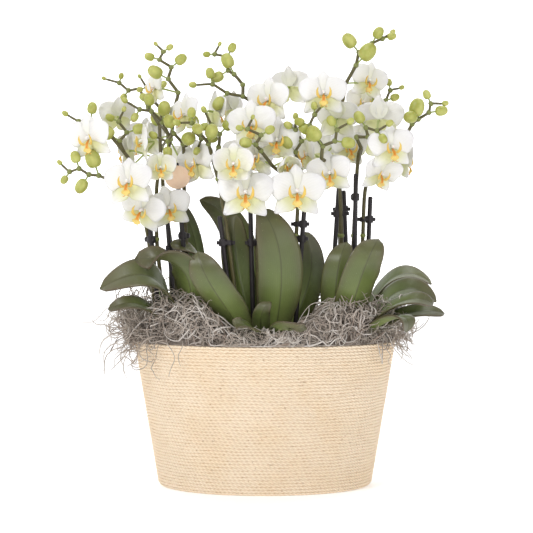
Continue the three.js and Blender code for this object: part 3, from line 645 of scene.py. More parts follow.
def petal_finish(look):
    f = Finish("petal", specular_ior_level=0.35, subsurface_weight=0.18, subsurface_scale=0.004)
    f.skin.inputs["Subsurface Radius"].default_value = (1.0, 0.95, 0.85)
    along, across, tint = f.read("along"), f.read("across").size(), f.read("tint")
    veins = (f.read("across") * 34).wave()
    warm = (1 - along.ramp(0.25, 1.0)) * (0.05 + 0.85 * tint * tint) + (f.noise(55) - 0.45) * 0.12 * tint
    base = f.mix(warm.at_least(0.0), look.petal, look.petal_base)
    shaded = f.mix(f.noise(90, 3) * 0.12, base, shade("CFC6D2"))
    rim = across.ramp(0.86, 1.0) * tint * 0.25
    veined = f.mix(veins * (1 - along) * 0.10, f.mix(rim, shaded, look.petal_base), shade("C9CBA0"))
    return f.done(veined, 0.42 + f.noise(300, 2) * 0.16, f.noise(420, 3) + veins * 0.5, 0.00025, 0.5)


def lip_finish(look):
    f = Finish("lip", specular_ior_level=0.45, subsurface_weight=0.1, subsurface_scale=0.003)
    along, across = f.read("along"), f.read("across").size()
    spots = f.cells(900).ramp(0.25, 0.5)
    heart = (1 - along.ramp(0.3, 0.72)) * (1 - across.ramp(0.5, 1.0)) + (f.noise(260) - 0.5) * 0.3
    claw = f.read("tint")
    edge = f.mix(across.ramp(0.4, 1.0) * 0.4 + claw * 0.55, look.lip, shade("E2BE4C"))
    tinted = f.mix(heart.ramp(0.2, 0.8) * (1 - claw * 0.85) * 0.9, edge, look.lip_heart)
    spotted = f.mix((1 - spots) * (1 - along) * (1 - claw) * 0.25, tinted, shade("8E3E14"))
    return f.done(spotted, 0.38, f.noise(500, 3), 0.0002, 0.6)


def column_finish(look):
    f = Finish("column", specular_ior_level=0.5, subsurface_weight=0.15, subsurface_scale=0.003)
    base = f.mix(f.noise(500) * 0.5, look.petal, shade("EFE3D2"))
    return f.done(base, 0.35, f.noise(700, 2), 0.0001, 0.5)


def bud_finish(look):
    f = Finish("bud", specular_ior_level=0.5, subsurface_weight=0.1, subsurface_scale=0.003)
    along, seam = f.read("along"), f.read("across")
    # Painted highlight: random patches of the lighter bud colour.
    body = f.mix(f.noise(70, 3).ramp(0.3, 0.7), look.bud, look.bud_painted_highlight)
    tipped = f.mix(along.ramp(0.72, 1.0) * 0.6, body, shade("97913A"))
    foot = f.mix((1 - along.ramp(0.0, 0.35)) * 0.55, tipped, shade("8E9A38"))
    flecked = f.mix(f.noise(380, 3).ramp(0.55, 0.8) * 0.25, foot, shade("93A03A"))
    # Painted shade: darker green in the grooves of the three seams.
    seam_shaded = f.mix(seam * 0.4, flecked, shade("8A9236"))
    return f.done(seam_shaded, 0.34 + f.noise(200) * 0.1, f.noise(300, 2) * 0.4 - seam, 0.00015, 0.5)


def stem_finish(look):
    f = Finish("stem", specular_ior_level=0.5)
    pale = f.read("tint")
    streaks = f.streaks((900, 900, 120))
    dark = f.mix(streaks.ramp(0.35, 0.7), look.stem, shade("47402A"))
    speckled = f.mix(f.noise(700, 2).ramp(0.6, 0.75) * 0.5, dark, shade("8A8552"))
    return f.done(f.mix(pale, speckled, look.stalk), 0.42 + streaks * 0.15, streaks, 0.0002, 0.5)


def leaf_finish(look):
    """Olive, lighter low in the middle, browner at the edges and the tip, with painted shade along the midrib's
    crease.
    """
    f = Finish("leaf", specular_ior_level=0.5, coat_weight=0.2, coat_roughness=0.25)
    along, across, tint = f.read("along"), f.read("across"), f.read("tint")
    side = across.size()
    fine = f.noise(900, 3)
    lengthways = (across * 70 + f.noise(40, 2) * 2).wave()
    patches = f.noise(26, 4, 0.6)
    green = f.mix(patches.ramp(0.3, 0.7), look.leaf, shade("636F38"))
    shady = f.mix(tint * 0.45, green, shade("2E3A1C"))
    foot = f.mix((1 - along.ramp(0.2, 0.95)) * (1 - side.ramp(0.2, 1.0) * 0.6) * 0.75, shady, shade("8B9C54"))
    tinge = side.ramp(0.5, 1.02) * 0.55 + along.ramp(0.62, 1.0) * 0.7 + (f.noise(14) - 0.5) * 0.6
    edged = f.mix(tinge.at_least(0.0) * 0.5, foot, look.leaf_edge)
    margin = f.mix(side.ramp(0.965, 1.0) * 0.5, edged, shade("4A3328"))
    # Painted shade: a dark line along the crease of the midrib.
    midrib_shade = f.mix((1 - side.ramp(0.015, 0.055)) * 0.6, margin, shade("46452A"))
    striped = f.mix(lengthways * 0.08, midrib_shade, shade("3A4420"))
    flecked = f.mix((1 - f.cells(260).ramp(0.02, 0.09)) * 0.5, striped, shade("B9BE95"))
    height = fine * 0.5 + lengthways * 0.35 + patches * 2
    return f.done(flecked, 0.36 + fine * 0.14, height, 0.0003, 0.5)


def crown_finish():
    f = Finish("crown", specular_ior_level=0.4)
    rings = f.streaks((90, 90, 420), 3)
    return f.done(f.mix(rings.ramp(0.3, 0.7), shade("6B7A3B"), shade("8A8A55")), 0.5, rings, 0.0006)


def stick_finish(planter):
    f = Finish("stick", specular_ior_level=0.5)
    grain = f.streaks((1500, 1500, 160))
    worn = f.mix(f.noise(60, 4).ramp(0.45, 0.8) * 0.35, planter.stick, shade("3E373B"))
    return f.done(f.mix(grain * 0.2, worn, shade("4A4246")), 0.36 + grain * 0.2, grain, 0.00015)


def label_finish(planter):
    f = Finish("label_card", specular_ior_level=0.25)
    fibre = f.streaks((900, 900, 260), 5, 0.65)
    body = f.mix(fibre.ramp(0.35, 0.75) * 0.35, planter.label, shade("F6C9A6"))
    return f.done(f.mix(f.noise(70, 3) * 0.25, body, shade("FFE3CC")), 0.7, fibre, 0.0001)


def cord_tone(f, planter, valley, ply):
    """The cord's colour from the depth between its turns and the twist of its plies."""
    blotch = f.noise(26, 4)
    fibres = f.streaks((1100, 1100, 2600), 5, 0.7)
    pale = f.mix(blotch.ramp(0.35, 0.75) * 0.35, planter.cord, shade("F6D9B0"))
    plied = f.mix((1 - ply) * 0.2, pale, planter.cord_shadow)
    gaps = valley * 0.7 + (1 - ply) * 0.2 + (f.noise(190, 2) - 0.5) * 0.8
    deep = f.mix(gaps.ramp(0.42, 0.9) * 0.75, plied, planter.cord_shadow)
    specks = (f.noise(330, 2) + valley * 0.08).ramp(0.68, 0.76) * 0.45
    return f.mix(fibres * 0.15, f.mix(specks, deep, shade("A5713A")), shade("FFF6E4")), fibres


def cord_finish(planter):
    """Turns of two-ply cord round the wall, worked out from the place on the wall."""
    f = Finish("paper_cord", specular_ior_level=0.2, sheen_weight=0.1)
    x, y, z = f.xyz()
    half_x, half_y = (z * ((rim - foot) / HEIGHT) + foot * MM for foot, rim in zip(FOOT, RIM))
    turn = f.maths("ARCTAN2", y / half_y, x / half_x)
    share = z / (HEIGHT * MM)
    sag = sum((turn * around + share * up).sine() * (high * MM) for high, around, up in SAGS)
    row = (z - sag * share * (1 - share) * 4) * (ROWS / (HEIGHT * MM))
    whole = row.floor()
    across = (row - whole) * 2 - 1
    ply = (turn * twists(planter) + whole * PLY_STEP + across * PLY_SLANT).wave()
    tone, fibres = cord_tone(f, planter, across * across, ply)
    height = ply * 0.6 + fibres * 0.25 - across * across * 0.35
    return f.done(tone, 0.78 + fibres * 0.12, height, 0.0011, 1.0)


def cord_flat_finish(planter):
    """The same cord on the underside, where its turns are marked on the mesh."""
    f = Finish("paper_cord_flat", specular_ior_level=0.2)
    tone, fibres = cord_tone(f, planter, 1 - f.read("across"), f.noise(420, 2))
    return f.done(tone, 0.85, fibres, 0.0003, 0.7)


def moss_finish(name, main, other, scale):
    f = Finish(name, specular_ior_level=0.2, sheen_weight=0.2)
    patch = f.noise(scale, 4, 0.65)
    fuzz = f.noise(1600, 3, 0.7)
    base = f.mix(patch.ramp(0.3, 0.7), main, other)
    return f.done(f.mix(fuzz * 0.35, base, shade("D8CFC6")), 0.85, fuzz, 0.0003)


def plastic_finish(name, main, other, roughness):
    f = Finish(name, specular_ior_level=0.4)
    grain = f.noise(1400, 3)
    base = f.mix(f.noise(45, 4).ramp(0.3, 0.8) * 0.5, main, other)
    return f.done(base, roughness + grain * 0.12, grain, 0.0001)


def bark_finish():
    f = Finish("bark", specular_ior_level=0.2)
    chips = f.cells(110, 1)
    edges = f.cells(110)
    tone = f.mix(f.noise(160, 4).ramp(0.3, 0.7), shade("6B4630"), shade("35231A"))
    chipped = f.mix(0.25, tone, chips, "OVERLAY")
    # Painted shade: each chip darkens towards its edges, in the gaps between the chips.
    return f.done(f.mix(edges.ramp(0.3, 0.7) * 0.6, chipped, shade("1E1510")), 0.9, edges, 0.002)


# Basket
def basket_half(z):
    """Half width and half depth of the basket's outline at a height."""
    return [lerp(foot, rim, z / HEIGHT) for foot, rim in zip(FOOT, RIM)]


def ring_grid(name, segments, rings):
    """A sleeve as a mesh, with each point's turn round the planter and the number of its ring."""
    bm = sleeve(segments, rings, False)
    smooth(bm)
    mesh = mesh_of(name, bm)
    co = np.zeros(len(mesh.vertices) * 3, np.float32)
    mesh.vertices.foreach_get("co", co)
    x, y, z = co.reshape(-1, 3).T
    return mesh, np.arctan2(y, x), np.round((z + 0.5) * (rings - 1)).astype(int)


def finish_rings(mesh, half, turn, z, finish):
    """Moves the points of a ring grid to their ovals, joins its ends and shows it."""
    co = np.stack([half[0] * np.cos(turn), half[1] * np.sin(turn), z], 1)
    mesh.vertices.foreach_set("co", co.astype(np.float32).ravel())
    bm = bmesh.new()
    bm.from_mesh(mesh)
    bmesh.ops.remove_doubles(bm, verts=bm.verts, dist=0.001)
    bmesh.ops.recalc_face_normals(bm, faces=bm.faces)
    bm.to_mesh(mesh)
    bm.free()
    show(mesh.name, mesh, [finish], ["basket"])


def rounded(share):
    """The profile of a round cord, from 0 at one side to 1 at its crest. share is -1 to 1."""
    return np.sqrt(np.clip(1 - share**2, 0, 1))


def twists(planter):
    """How many bulges of the twisted cord go round the planter."""
    girth = 2 * math.pi * math.sqrt((RIM[0] ** 2 + RIM[1] ** 2) / 2)
    return round(girth / (planter.twist_pitch / MM))


def cord_band(name, planter, finish, first, last):
    """Turns first to last of the cord wall, as one closed band with a plain inner side."""
    pitch = HEIGHT / ROWS
    rings = round((last - first) * STEPS_PER_ROW) + 1
    inner = np.linspace(last * pitch, first * pitch, 5)
    mesh, turn, ring = ring_grid(name, CORD_SEGMENTS, rings + len(inner) + 1)
    ring = np.where(ring == rings + len(inner), 0, ring)
    outer = ring < rings
    row = first + ring / STEPS_PER_ROW
    whole = np.floor(row + 1e-6)
    across = 2 * (row - whole) - 1
    z = np.where(outer, row * pitch, inner[np.clip(ring - rings, 0, len(inner) - 1)])
    share = z / HEIGHT
    ply = 0.5 + 0.5 * np.sin(twists(planter) * turn + whole * PLY_STEP + PLY_SLANT * across)
    slack = 0.25 * np.sin(5 * turn + whole * 1.7) + 0.18 * np.sin(11 * turn + whole * 4.1)
    bulge = CORD["valley"] + rounded(across) * (CORD["crest"] + CORD["ply"] * ply) + 0.15 * slack
    foot = FOOT_ROUNDING["inset"] * np.clip(1 - z / FOOT_ROUNDING["height"], 0, 1) ** 2
    out = np.where(outer, bulge - foot, np.minimum(CORD["inside"], CORD["inside"] - 0.64 * foot))
    sag = sum(high * np.sin(around * turn + up * share) for high, around, up in SAGS)
    for face in mesh.polygons:
        face.use_smooth = all(outer[v] for v in face.vertices)
    half = [h + out for h in basket_half(z)]
    finish_rings(mesh, half, turn, z + 4 * sag * share * (1 - share), finish)


def basket_base(finish):
    """The wound underside and floor."""
    rings = UNDERSIDE["turns"] * STEPS_PER_ROW + 1
    mesh, turn, ring = ring_grid("basket_base", OVAL_SEGMENTS, rings + 3)
    above = np.clip(ring - rings, 0, 2)
    share = ring / STEPS_PER_ROW - np.floor(ring / STEPS_PER_ROW)
    crest = rounded(2 * share - 1)
    reach = np.where(ring < rings, ring / (rings - 1), np.array([1.0, 1.0, 0.0])[above])
    cord, floor = UNDERSIDE["cord"], UNDERSIDE["floor"]
    z = np.where(ring < rings, cord - cord * crest, np.array([cord, floor, floor])[above])
    mesh.attributes["across"].data.foreach_set("value", crest.astype(np.float32))
    half = [(foot - UNDERSIDE["inset"]) * reach for foot in FOOT]
    finish_rings(mesh, half, turn, z, finish)


def basket_liner(finish):
    """The thin dark liner inside the cord wall."""
    mesh, turn, ring = ring_grid("basket_liner", OVAL_SEGMENTS, len(LINER) + 1)
    z, inset = np.array(LINER)[ring % len(LINER)].T
    finish_rings(mesh, [h - inset for h in basket_half(z)], turn, z, finish)


# Moss
def oval_share(x, y):
    """How far out a place lies, as a share of the rim's size."""
    return math.hypot(x / RIM[0], y / RIM[1])


def moss_top(x, y):
    """Height of the tangle, which rises to the ends, falls to the rim and opens round each plant."""
    share = oval_share(x, y)
    ends = smoothstep(abs(x), 24, 84)
    top = lerp(142, 161 + 40 * ends, smoothstep(share, 0.0, 0.78))
    top = lerp(top, 155 + 16 * ends, smoothstep(share, 0.84, 1.06))
    for px, py in PLANTS.values():
        away = math.hypot(x - px, y - py)
        top = min(top, lerp(122, 205, smoothstep(away, 14, 62)))
    return top + 6 * noise.noise(Vector((x, y, 0)) * 0.045) + 4 * noise.noise(Vector((x, y, 9)) * 0.11)


def moss_body(finish):
    """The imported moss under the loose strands: a dome, a lip on the rim, and a wall down to its foot."""
    dome, lip = 0.66, 0.72  # shares of the way from the top to the bottom at which they end
    bm = fresh()
    bmesh.ops.create_uvsphere(bm, u_segments=128, v_segments=56, radius=1)
    for vert in bm.verts:
        polar = math.acos(max(-1, min(1, vert.co.z))) / math.pi
        turn = math.atan2(vert.co.y, vert.co.x)
        half = RIM
        if polar < dome:
            reach = polar / dome * MOSS_REACH
            x, y = RIM[0] * reach * math.cos(turn), RIM[1] * reach * math.sin(turn)
            loose = moss_top(x, y) - 9 + 3.4 * noise.noise(Vector((x, y, 3)) * 0.35)
            z = lerp(loose, MOSS_LIP, smoothstep(reach, 0.83, MOSS_REACH))
        elif polar < lip:
            reach = lerp(MOSS_REACH, 0.955, (polar - dome) / (lip - dome))
            z = MOSS_LIP - 0.25
        else:
            share = (polar - lip) / (1 - lip)
            z = lerp(HEIGHT, MOSS_FOOT, min(1, share * 4))
            half = [h - 6.2 for h in basket_half(z)]
            reach = 1 if share < 0.25 else 1 - (share - 0.25) / 0.75
        vert.co = on_oval([h * reach for h in half], turn)
        vert.co.z = z
    bmesh.ops.remove_doubles(bm, verts=bm.verts, dist=0.001)
    outward(bm)
    show("moss_body", mesh_of("moss_body", bm), [finish], ["moss"])


def strands(name, runs, radius, finish):
    """Strands as three-sided tubes. Each run is its points and its thickness as a share of the radius."""
    profile = bpy.data.curves.new(name + "_profile", "CURVE")
    corners = profile.splines.new("POLY")
    corners.points.add(2)
    for k, point in enumerate(corners.points):
        point.co = (*on_oval((radius, radius), k * math.tau / 3), 1)
    corners.use_cyclic_u = True
    section = bpy.data.objects.new(name + "_profile", profile)
    curve = bpy.data.curves.new(name, "CURVE")
    curve.dimensions = "3D"
    curve.bevel_mode = "OBJECT"
    curve.bevel_object = section
    curve.use_fill_caps = True
    for points, share in runs:
        spline = curve.splines.new("POLY")
        spline.points.add(len(points) - 1)
        spline.points.foreach_set("co", [c for p in points for c in (*p, 1)])
        ends = [min(i, len(points) - 1 - i) / len(points) for i in range(len(points))]
        spline.points.foreach_set("radius", [share * min(1, 0.45 + 2.2 * end) for end in ends])
    holder = bpy.data.objects.new(name, curve)
    for item in (section, holder):
        bpy.context.scene.collection.objects.link(item)
    graph = bpy.context.evaluated_depsgraph_get()
    mesh = bpy.data.meshes.new_from_object(holder.evaluated_get(graph))
    mesh.name = name
    for item in (holder, section):
        bpy.data.objects.remove(item)
    for item in (curve, profile):
        bpy.data.curves.remove(item)
    mesh.materials.clear()
    mesh.polygons.foreach_set("use_smooth", [True] * len(mesh.polygons))
    show(name, mesh, [finish], ["moss"])


def scatter(rng, spread_up):
    """A random direction that spreads less upward than sideways."""
    return Vector((rng.gauss(0, 1), rng.gauss(0, 1), rng.gauss(0, spread_up)))


def settle(place, stay):
    """Keeps a point near the top of the tangle, and at the front and the back inside the rim."""
    top, share = moss_top(place.x, place.y), oval_share(place.x, place.y)
    if share < 1:
        high = lerp(place.z, top + 4, stay)
        place.z = high if place.z > top + 4 else max(place.z, top - 12, MOSS_LOWEST)
    elif abs(place.y) > 60:
        place.x, place.y, place.z = place.x / share, place.y / share, max(place.z, MOSS_LOWEST)
    elif share < 1.04:
        place.z = max(place.z, MOSS_LOWEST)


def wander(rng, start, heading, length, step, curliness, sink, stay=0):
    """A curly strand. sink pulls it down, and stay keeps it near the top of the tangle."""
    points = [start.copy()]
    ahead = heading.normalized()
    bend = scatter(rng, 0.6)
    place = start.copy()
    for _ in range(max(3, int(length / step))):
        bend = bend * 0.72 + scatter(rng, 0.6) * 0.6
        ahead = (ahead + ahead.cross(bend) * curliness + Vector((0, 0, -sink))).normalized()
        place = place + ahead * step
        if stay:
            settle(place, stay)
        points.append(place.copy())
    return points


def moss_tangle(planter, finishes):
    """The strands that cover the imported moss, two in five of them beside the rim."""
    rng = random.Random(41)
    groups = {name: [] for name in STRAND_RADII}
    for i in range(planter.moss_strands):
        at_rim = i % 5 < 2
        turn = rng.uniform(0, math.tau)
        reach = rng.uniform(0.88, 1.01) if at_rim else 1.035 * rng.random() ** 0.32
        x, y = RIM[0] * reach * math.cos(turn), RIM[1] * reach * math.sin(turn)
        top = moss_top(x, y)
        low, high = (153, 163) if at_rim else (max(154, top - 12), top + 4)
        start = Vector((x, y, rng.uniform(low, high)))
        heading = Vector((rng.gauss(0, 1), rng.gauss(0, 1), rng.gauss(0.1, 0.5)))
        kind = rng.random()
        name = "moss_pale" if kind < 0.16 else "moss_mixed" if kind < 0.36 else "moss_fine"
        short, long = (40, 80) if name == "moss_pale" else (20, 34) if at_rim else (26, 56)
        length = rng.uniform(short, long)
        points = wander(rng, start, heading, length, 4.6, rng.uniform(0.3, 0.8), 0.03, 0.4)
        groups[name].append((points, rng.uniform(0.7, 1.3)))
    for name, runs in groups.items():
        strands(name, runs, STRAND_RADII[name], finishes[name])


def moss_wisps(finishes):
    """Loose ends that spill over the rim, mostly at the left and right, and loops over the tangle."""
    rng = random.Random(7)
    hanging, loops = [], []
    for _ in range(WISPS):
        end = -1 if rng.random() < 0.64 else 1
        spread = rng.gauss(0, 0.5)
        x, y = end * 137 * math.cos(spread) * 0.95, 80 * math.sin(spread) * 0.95
        start = Vector((x, y, rng.uniform(158, moss_top(x, y) + 8)))
        out = end * rng.uniform(0.6, 1.4)
        heading = Vector((out, 0.8 * math.sin(spread) + rng.gauss(0, 0.35), rng.uniform(-0.5, 0.7)))
        length = rng.uniform(26, 84) if end < 0 else rng.uniform(20, 60)
        strand = wander(rng, start, heading, length, 4.2, 0.5, rng.uniform(0.06, 0.34))
        hanging.append((strand, rng.uniform(0.6, 1.2)))
    for _ in range(RIM_WISPS):
        turn = rng.uniform(0, math.tau)
        out = math.cos(turn) + rng.gauss(0, 1)
        heading = Vector((out, math.sin(turn) * 0.6 + rng.gauss(0, 0.6), rng.uniform(-0.2, 0.3)))
        x, y = 139 * math.cos(turn) * 0.96, 86 * math.sin(turn) * 0.96
        start = Vector((x, y, 160 + rng.uniform(-3, 8)))
        strand = wander(rng, start, heading, rng.uniform(14, 34), 4, 0.6, 0.1)
        hanging.append((strand, rng.uniform(0.6, 1.1)))
    for i in range(LOOPS):
        turn = rng.uniform(-0.95, 0.95) + math.pi * (i % 2)
        a, b = on_oval((126, 74), turn), on_oval((116, 64), turn + rng.uniform(-0.5, 0.5))
        for foot in (a, b):
            foot.z = moss_top(foot.x, foot.y) - 2
        top = a.lerp(b, rng.uniform(0.3, 0.7)) + Vector((rng.gauss(0, 6), rng.gauss(0, 6), rng.uniform(5, 18)))
        loops.append((through([a, top, b], 7), rng.uniform(0.7, 1.2)))
    strands("moss_wisps", hanging, WISP_RADIUS, finishes["moss_fine"])
    strands("moss_loops", loops, WISP_RADIUS, finishes["moss_pale"])


# Leaves
def leaf_frames(row):
    """A formula for a leaf's point, sideways direction and upper side at a share of its length."""
    plant, root, facing, roll, middle, tip, _ = row
    base = Vector((*PLANTS[plant], LEAF_FOOT)) + compass(root) * (CROWN_R - 2)
    knee = base + compass(root) * LEAF_RISE["out"] + Vector((0, 0, LEAF_RISE["up"]))
    end = Vector(tip)
    pull = (Vector(middle) * 8 - base - knee * 3 - end) / 3
    twist = ((root - facing + 450) % 180) - 90

    def at(t):
        s = 1 - t
        point = base * s**3 + knee * 3 * s * s * t + pull * 3 * s * t * t + end * t**3
        along = ((knee - base) * s * s + (pull - knee) * 2 * s * t + (end - pull) * t * t).normalized()
        turned = smoothstep(t, 0, 0.5)
        across = compass(facing + 90 + twist * (1 - turned))
        across.z = math.tan(math.radians(roll)) * turned
        across.normalize()
        across = (across - along * across.dot(along)).normalized()
        return point, across, across.cross(along)

    return at


def leaf(name, row, flowers, finish):
    """A strap leaf, folded along its midrib, widest past its middle."""
    at, width = leaf_frames(row), row[6]
    seed = 7 * steady(sum(map(ord, name)))
    bm = fresh()
    bmesh.ops.create_grid(bm, x_segments=LEAF_GRID[0], y_segments=LEAF_GRID[1], size=1)
    for vert in bm.verts:
        u, t = vert.co.x, (vert.co.y + 1) / 2
        point, across, face = at(t)
        if t < LEAF_WIDEST:
            swell = lerp(LEAF_FOOT_WIDTH, 1, smoothstep(t, 0, LEAF_WIDEST))
        else:
            swell = math.sqrt(max(0.0, 1 - ((t - LEAF_WIDEST) / (1 - LEAF_WIDEST)) ** 2.4))
        half = u * 0.5 * width * max(swell, 0.02)
        fold = lerp(0.42, 0.16, t) * abs(half) * (1.12 - 0.3 * u * u)
        wave = noise.noise(Vector((t * 5, u * 1.2, seed))) * abs(u) ** 1.5 * smoothstep(t, 0.15, 0.5)
        groove = 0.9 * math.exp(-((u / 0.09) ** 2)) * (1 - t)
        mark(bm, vert, t, u, steady(seed))
        vert.co = point + across * half + face * (groove - fold - wave)
    bmesh.ops.remove_doubles(bm, verts=bm.verts, dist=0.01)
    thicken(bm, flowers.leaf_thickness / MM)
    show(name + "_blade", mesh_of(name, bm), [finish], [name])


# Sticks and label
def on_stick(name, z):
    """The place on a stick's axis at a height."""
    _, foot, top, _ = STICKS[name]
    low, high = Vector((*foot, STICK_FOOT)), Vector(top)
    return low.lerp(high, (z - low.z) / (high.z - low.z))


def bevelled(bm, edges, offset, segments):
    """Rounds the given edges."""
    bmesh.ops.bevel(
        bm, geom=edges, offset=offset, segments=segments, profile=0.5, affect="EDGES", material=-1,
        clamp_overlap=True,
    )


def box(size_xyz, matrix, round_off):
    """A block with rounded edges."""
    bm = fresh()
    bmesh.ops.create_cube(bm, size=1)
    bmesh.ops.scale(bm, vec=size_xyz, verts=bm.verts)
    bevelled(bm, bm.edges[:], round_off, 2)
    bmesh.ops.transform(bm, matrix=matrix, verts=bm.verts)
    return bm


def disc(radius, depth, segments, round_off, steps, matrix):
    """A short cylinder with rounded rims: a clip's ring, or the label."""
    bm = fresh()
    bmesh.ops.create_cone(bm, cap_ends=True, segments=segments, radius1=radius, radius2=radius, depth=depth)
    bmesh.ops.transform(bm, matrix=matrix, verts=bm.verts)
    rims = [e for e in bm.edges if max(len(face.verts) for face in e.link_faces) > 4]
    bevelled(bm, rims, round_off, steps)
    return bm


def stick(name, finish):
    """A stick with its narrowed top and the clips that hold its stem."""
    _, foot, top, clips = STICKS[name]
    bm = fresh()
    low, high = Vector((*foot, STICK_FOOT)), Vector(top)
    path = [low.lerp(high, share) for share in (0, 0.5, 0.985, 0.995, 1)]
    append(bm, tube(path, lambda s: STICK_R * (1 if s < 0.8 else 0.7 if s > 0.99 else 0.94), 14))
    side = next(row["stick"][1] for row in SPIKES.values() if row["stick"][0] == name)
    turned = Matrix.Rotation(math.radians(side), 4, "Z")
    for z in clips:
        centre = on_stick(name, z)
        beside = compass(side) * STEM_OFFSET
        place = Matrix.Translation(centre + beside / 2) @ turned
        append(bm, disc(STICK_R + 1.7, CLIP["collar"], 16, 0.5, 2, Matrix.Translation(centre) @ turned))
        append(bm, disc(STEM_R + 1.6, CLIP["ring"], 16, 0.5, 2, Matrix.Translation(centre + beside) @ turned))
        append(bm, box(CLIP["jaws"], place, 0.5))
        append(bm, box(CLIP["bridge"], place, 0.9))
    show(name + "_rod", mesh_of(name, bm), [finish], [name])


def label(finish):
    """The blank oval card and the foot that clips it to its stick."""
    at = on_stick(LABEL["stick"], LABEL["z"]) + Vector((0, -STICK_R - LABEL["thick"] - 0.6, 0))
    sides = Matrix.Diagonal((LABEL["halfX"], 1, LABEL["halfZ"], 1)) @ Matrix.Rotation(math.pi / 2, 4, "X")
    bm = fresh()
    append(bm, disc(1, LABEL["thick"], 64, 0.35, 3, Matrix.Translation(at) @ sides))
    append(bm, box((9, 5.4, 4), Matrix.Translation(at + Vector((0, 3.2, -4))), 0.6))
    show("plant_label_card", mesh_of("plant_label_card", bm), [finish], ["plant_label"])


# Spikes
def stem_points(spike):
    """A stem from the crown, up beside its stick, and on through the points of its row."""
    name, side, root = spike["stick"]
    plant, _, _, clips = STICKS[name]
    beside = compass(side) * STEM_OFFSET
    low, middle, high = STEM_HEIGHTS
    along = [on_stick(name, z) + beside for z in (low, middle, min(clips[0], high))]
    start = Vector((*PLANTS[plant], CROWN_TOP - 13)) + compass(root) * (CROWN_R - 1)
    knee = start.lerp(along[0], 0.4) + compass(root) * 3
    return [start, knee, *along, *map(Vector, spike["stem"])]


def bloom_frame(row):
    """The frame of a bloom: right, up towards the top sepal, and out of its face."""
    x, y, z, yaw, pitch, roll = row[:6]
    upright = Matrix(((1, 0, 0, 0), (0, 0, -1, 0), (0, 1, 0, 0), (0, 0, 0, 1)))
    turn = Matrix.Rotation(math.radians(yaw), 4, "Y") @ Matrix.Rotation(math.radians(-pitch), 4, "X")
    turn = turn @ Matrix.Rotation(math.radians(roll), 4, "Z")
    return Matrix.Translation((x, y, z)) @ upright @ turn


def nearest_joint(joints, matrix):
    """The joint that a bloom's stalk most likely starts from."""
    behind = matrix @ Vector((0, -6, -16))
    return min(joints, key=lambda p: (p - behind).length)


def cupped(place, width, cup):
    """Turns the outer part of a bloom forward."""
    share = math.hypot(place.x, place.y) / width
    if share < 0.2:
        return place
    fold = 3 * cup * (share - 0.2)
    shrunk = math.cos(fold)
    return Vector((place.x * shrunk, place.y * shrunk, place.z + share * width * math.sin(fold)))


# The places of a spike's finishes in its list.
PETAL, LIP, COLUMN, STEM, BUD = range(5)

# Petals and sepals: degrees from the top, reach and half width as shares of the bloom's width, how far
# forward the foot and the tip stand, the share of the width kept at the foot, how pinched the tip is,
# and how green the foot is.
PETALS = [
    (0, 0.495, 0.18, -0.01, -0.03, 0.8, 0.5, 0.35),
    (134, 0.5, 0.172, -0.03, -0.05, 0.8, 0.5, 1.0),
    (-134, 0.5, 0.172, -0.03, -0.05, 0.8, 0.5, 1.0),
    (64, 0.515, 0.245, 0.01, 0.035, 0.28, 0.22, 0.12),
    (-64, 0.515, 0.245, 0.01, 0.035, 0.28, 0.22, 0.12),
]


def petal(row, width, cup, tone, seed, matrix, thickness):
    """One petal or sepal, from its row of PETALS."""
    degrees, reach, half, foot, tip, claw, pinch, green = row
    turn = math.radians(degrees + 6 * (steady(seed) - 0.5))
    ahead, side = Vector((math.sin(turn), math.cos(turn), 0)), Vector((math.cos(turn), -math.sin(turn), 0))
    reach = reach * (0.96 + 0.08 * steady(seed + 3))
    roll = 0.22 * (steady(seed + 5) - 0.5)

    def place(t, across):
        widen = lerp(claw, 1.12, smoothstep(t, 0.0, 0.5)) * (1 - pinch * smoothstep(t, 0.35, 1))
        sag = -0.05 * (across * across) + 0.05 * math.sin(math.pi * t) - 0.05 * t**3 + roll * across * half * t
        ripple = 0.03 * noise.noise(Vector((t * 2.6, across * 1.8, seed * 1.37))) * (0.3 + t)
        groove = -0.008 * math.exp(-((across / 0.12) ** 2)) * math.sin(math.pi * t)
        forward = lerp(foot, tip, t) + sag + ripple + groove
        flat = (ahead * (t * reach) + side * (across * half * widen)) * width
        return cupped(flat + Vector((0, 0, forward * width)), width, cup)

    return blade((10, 12), lambda t, a: matrix @ place(t, a), thickness, min(1, green + tone))


# The lip's middle lobe at even steps along it, as shares of the bloom's width: half width, up and forward.
LIP_ROWS = [
    (0.030, -0.02, 0.05), (0.045, -0.085, 0.13), (0.040, -0.14, 0.16),
    (0.085, -0.19, 0.155), (0.105, -0.225, 0.14), (0.05, -0.27, 0.15),
]
# The middle line of a side lobe: out, up, forward and half width.
CLAW_ROWS = [
    (0.02, -0.09, 0.08, 0.02), (0.08, -0.10, 0.13, 0.03), (0.12, -0.05, 0.17, 0.03),
    (0.13, 0.03, 0.19, 0.022), (0.11, 0.10, 0.185, 0.012),
]
# A tendril at the lip's tip.
TENDRIL = [(0.02, -0.26, 0.14), (0.06, -0.285, 0.17), (0.075, -0.255, 0.2)]


def between(rows, t):
    """The row at a share of the way along evenly spaced rows, smoothly."""
    place = t * (len(rows) - 1)
    k = min(len(rows) - 2, int(place))
    near, far, share = rows[k], rows[k + 1], smoothstep(place - k, 0, 1) * 0.5 + (place - k) * 0.5
    return [lerp(a, b, share) for a, b in zip(near, far)]


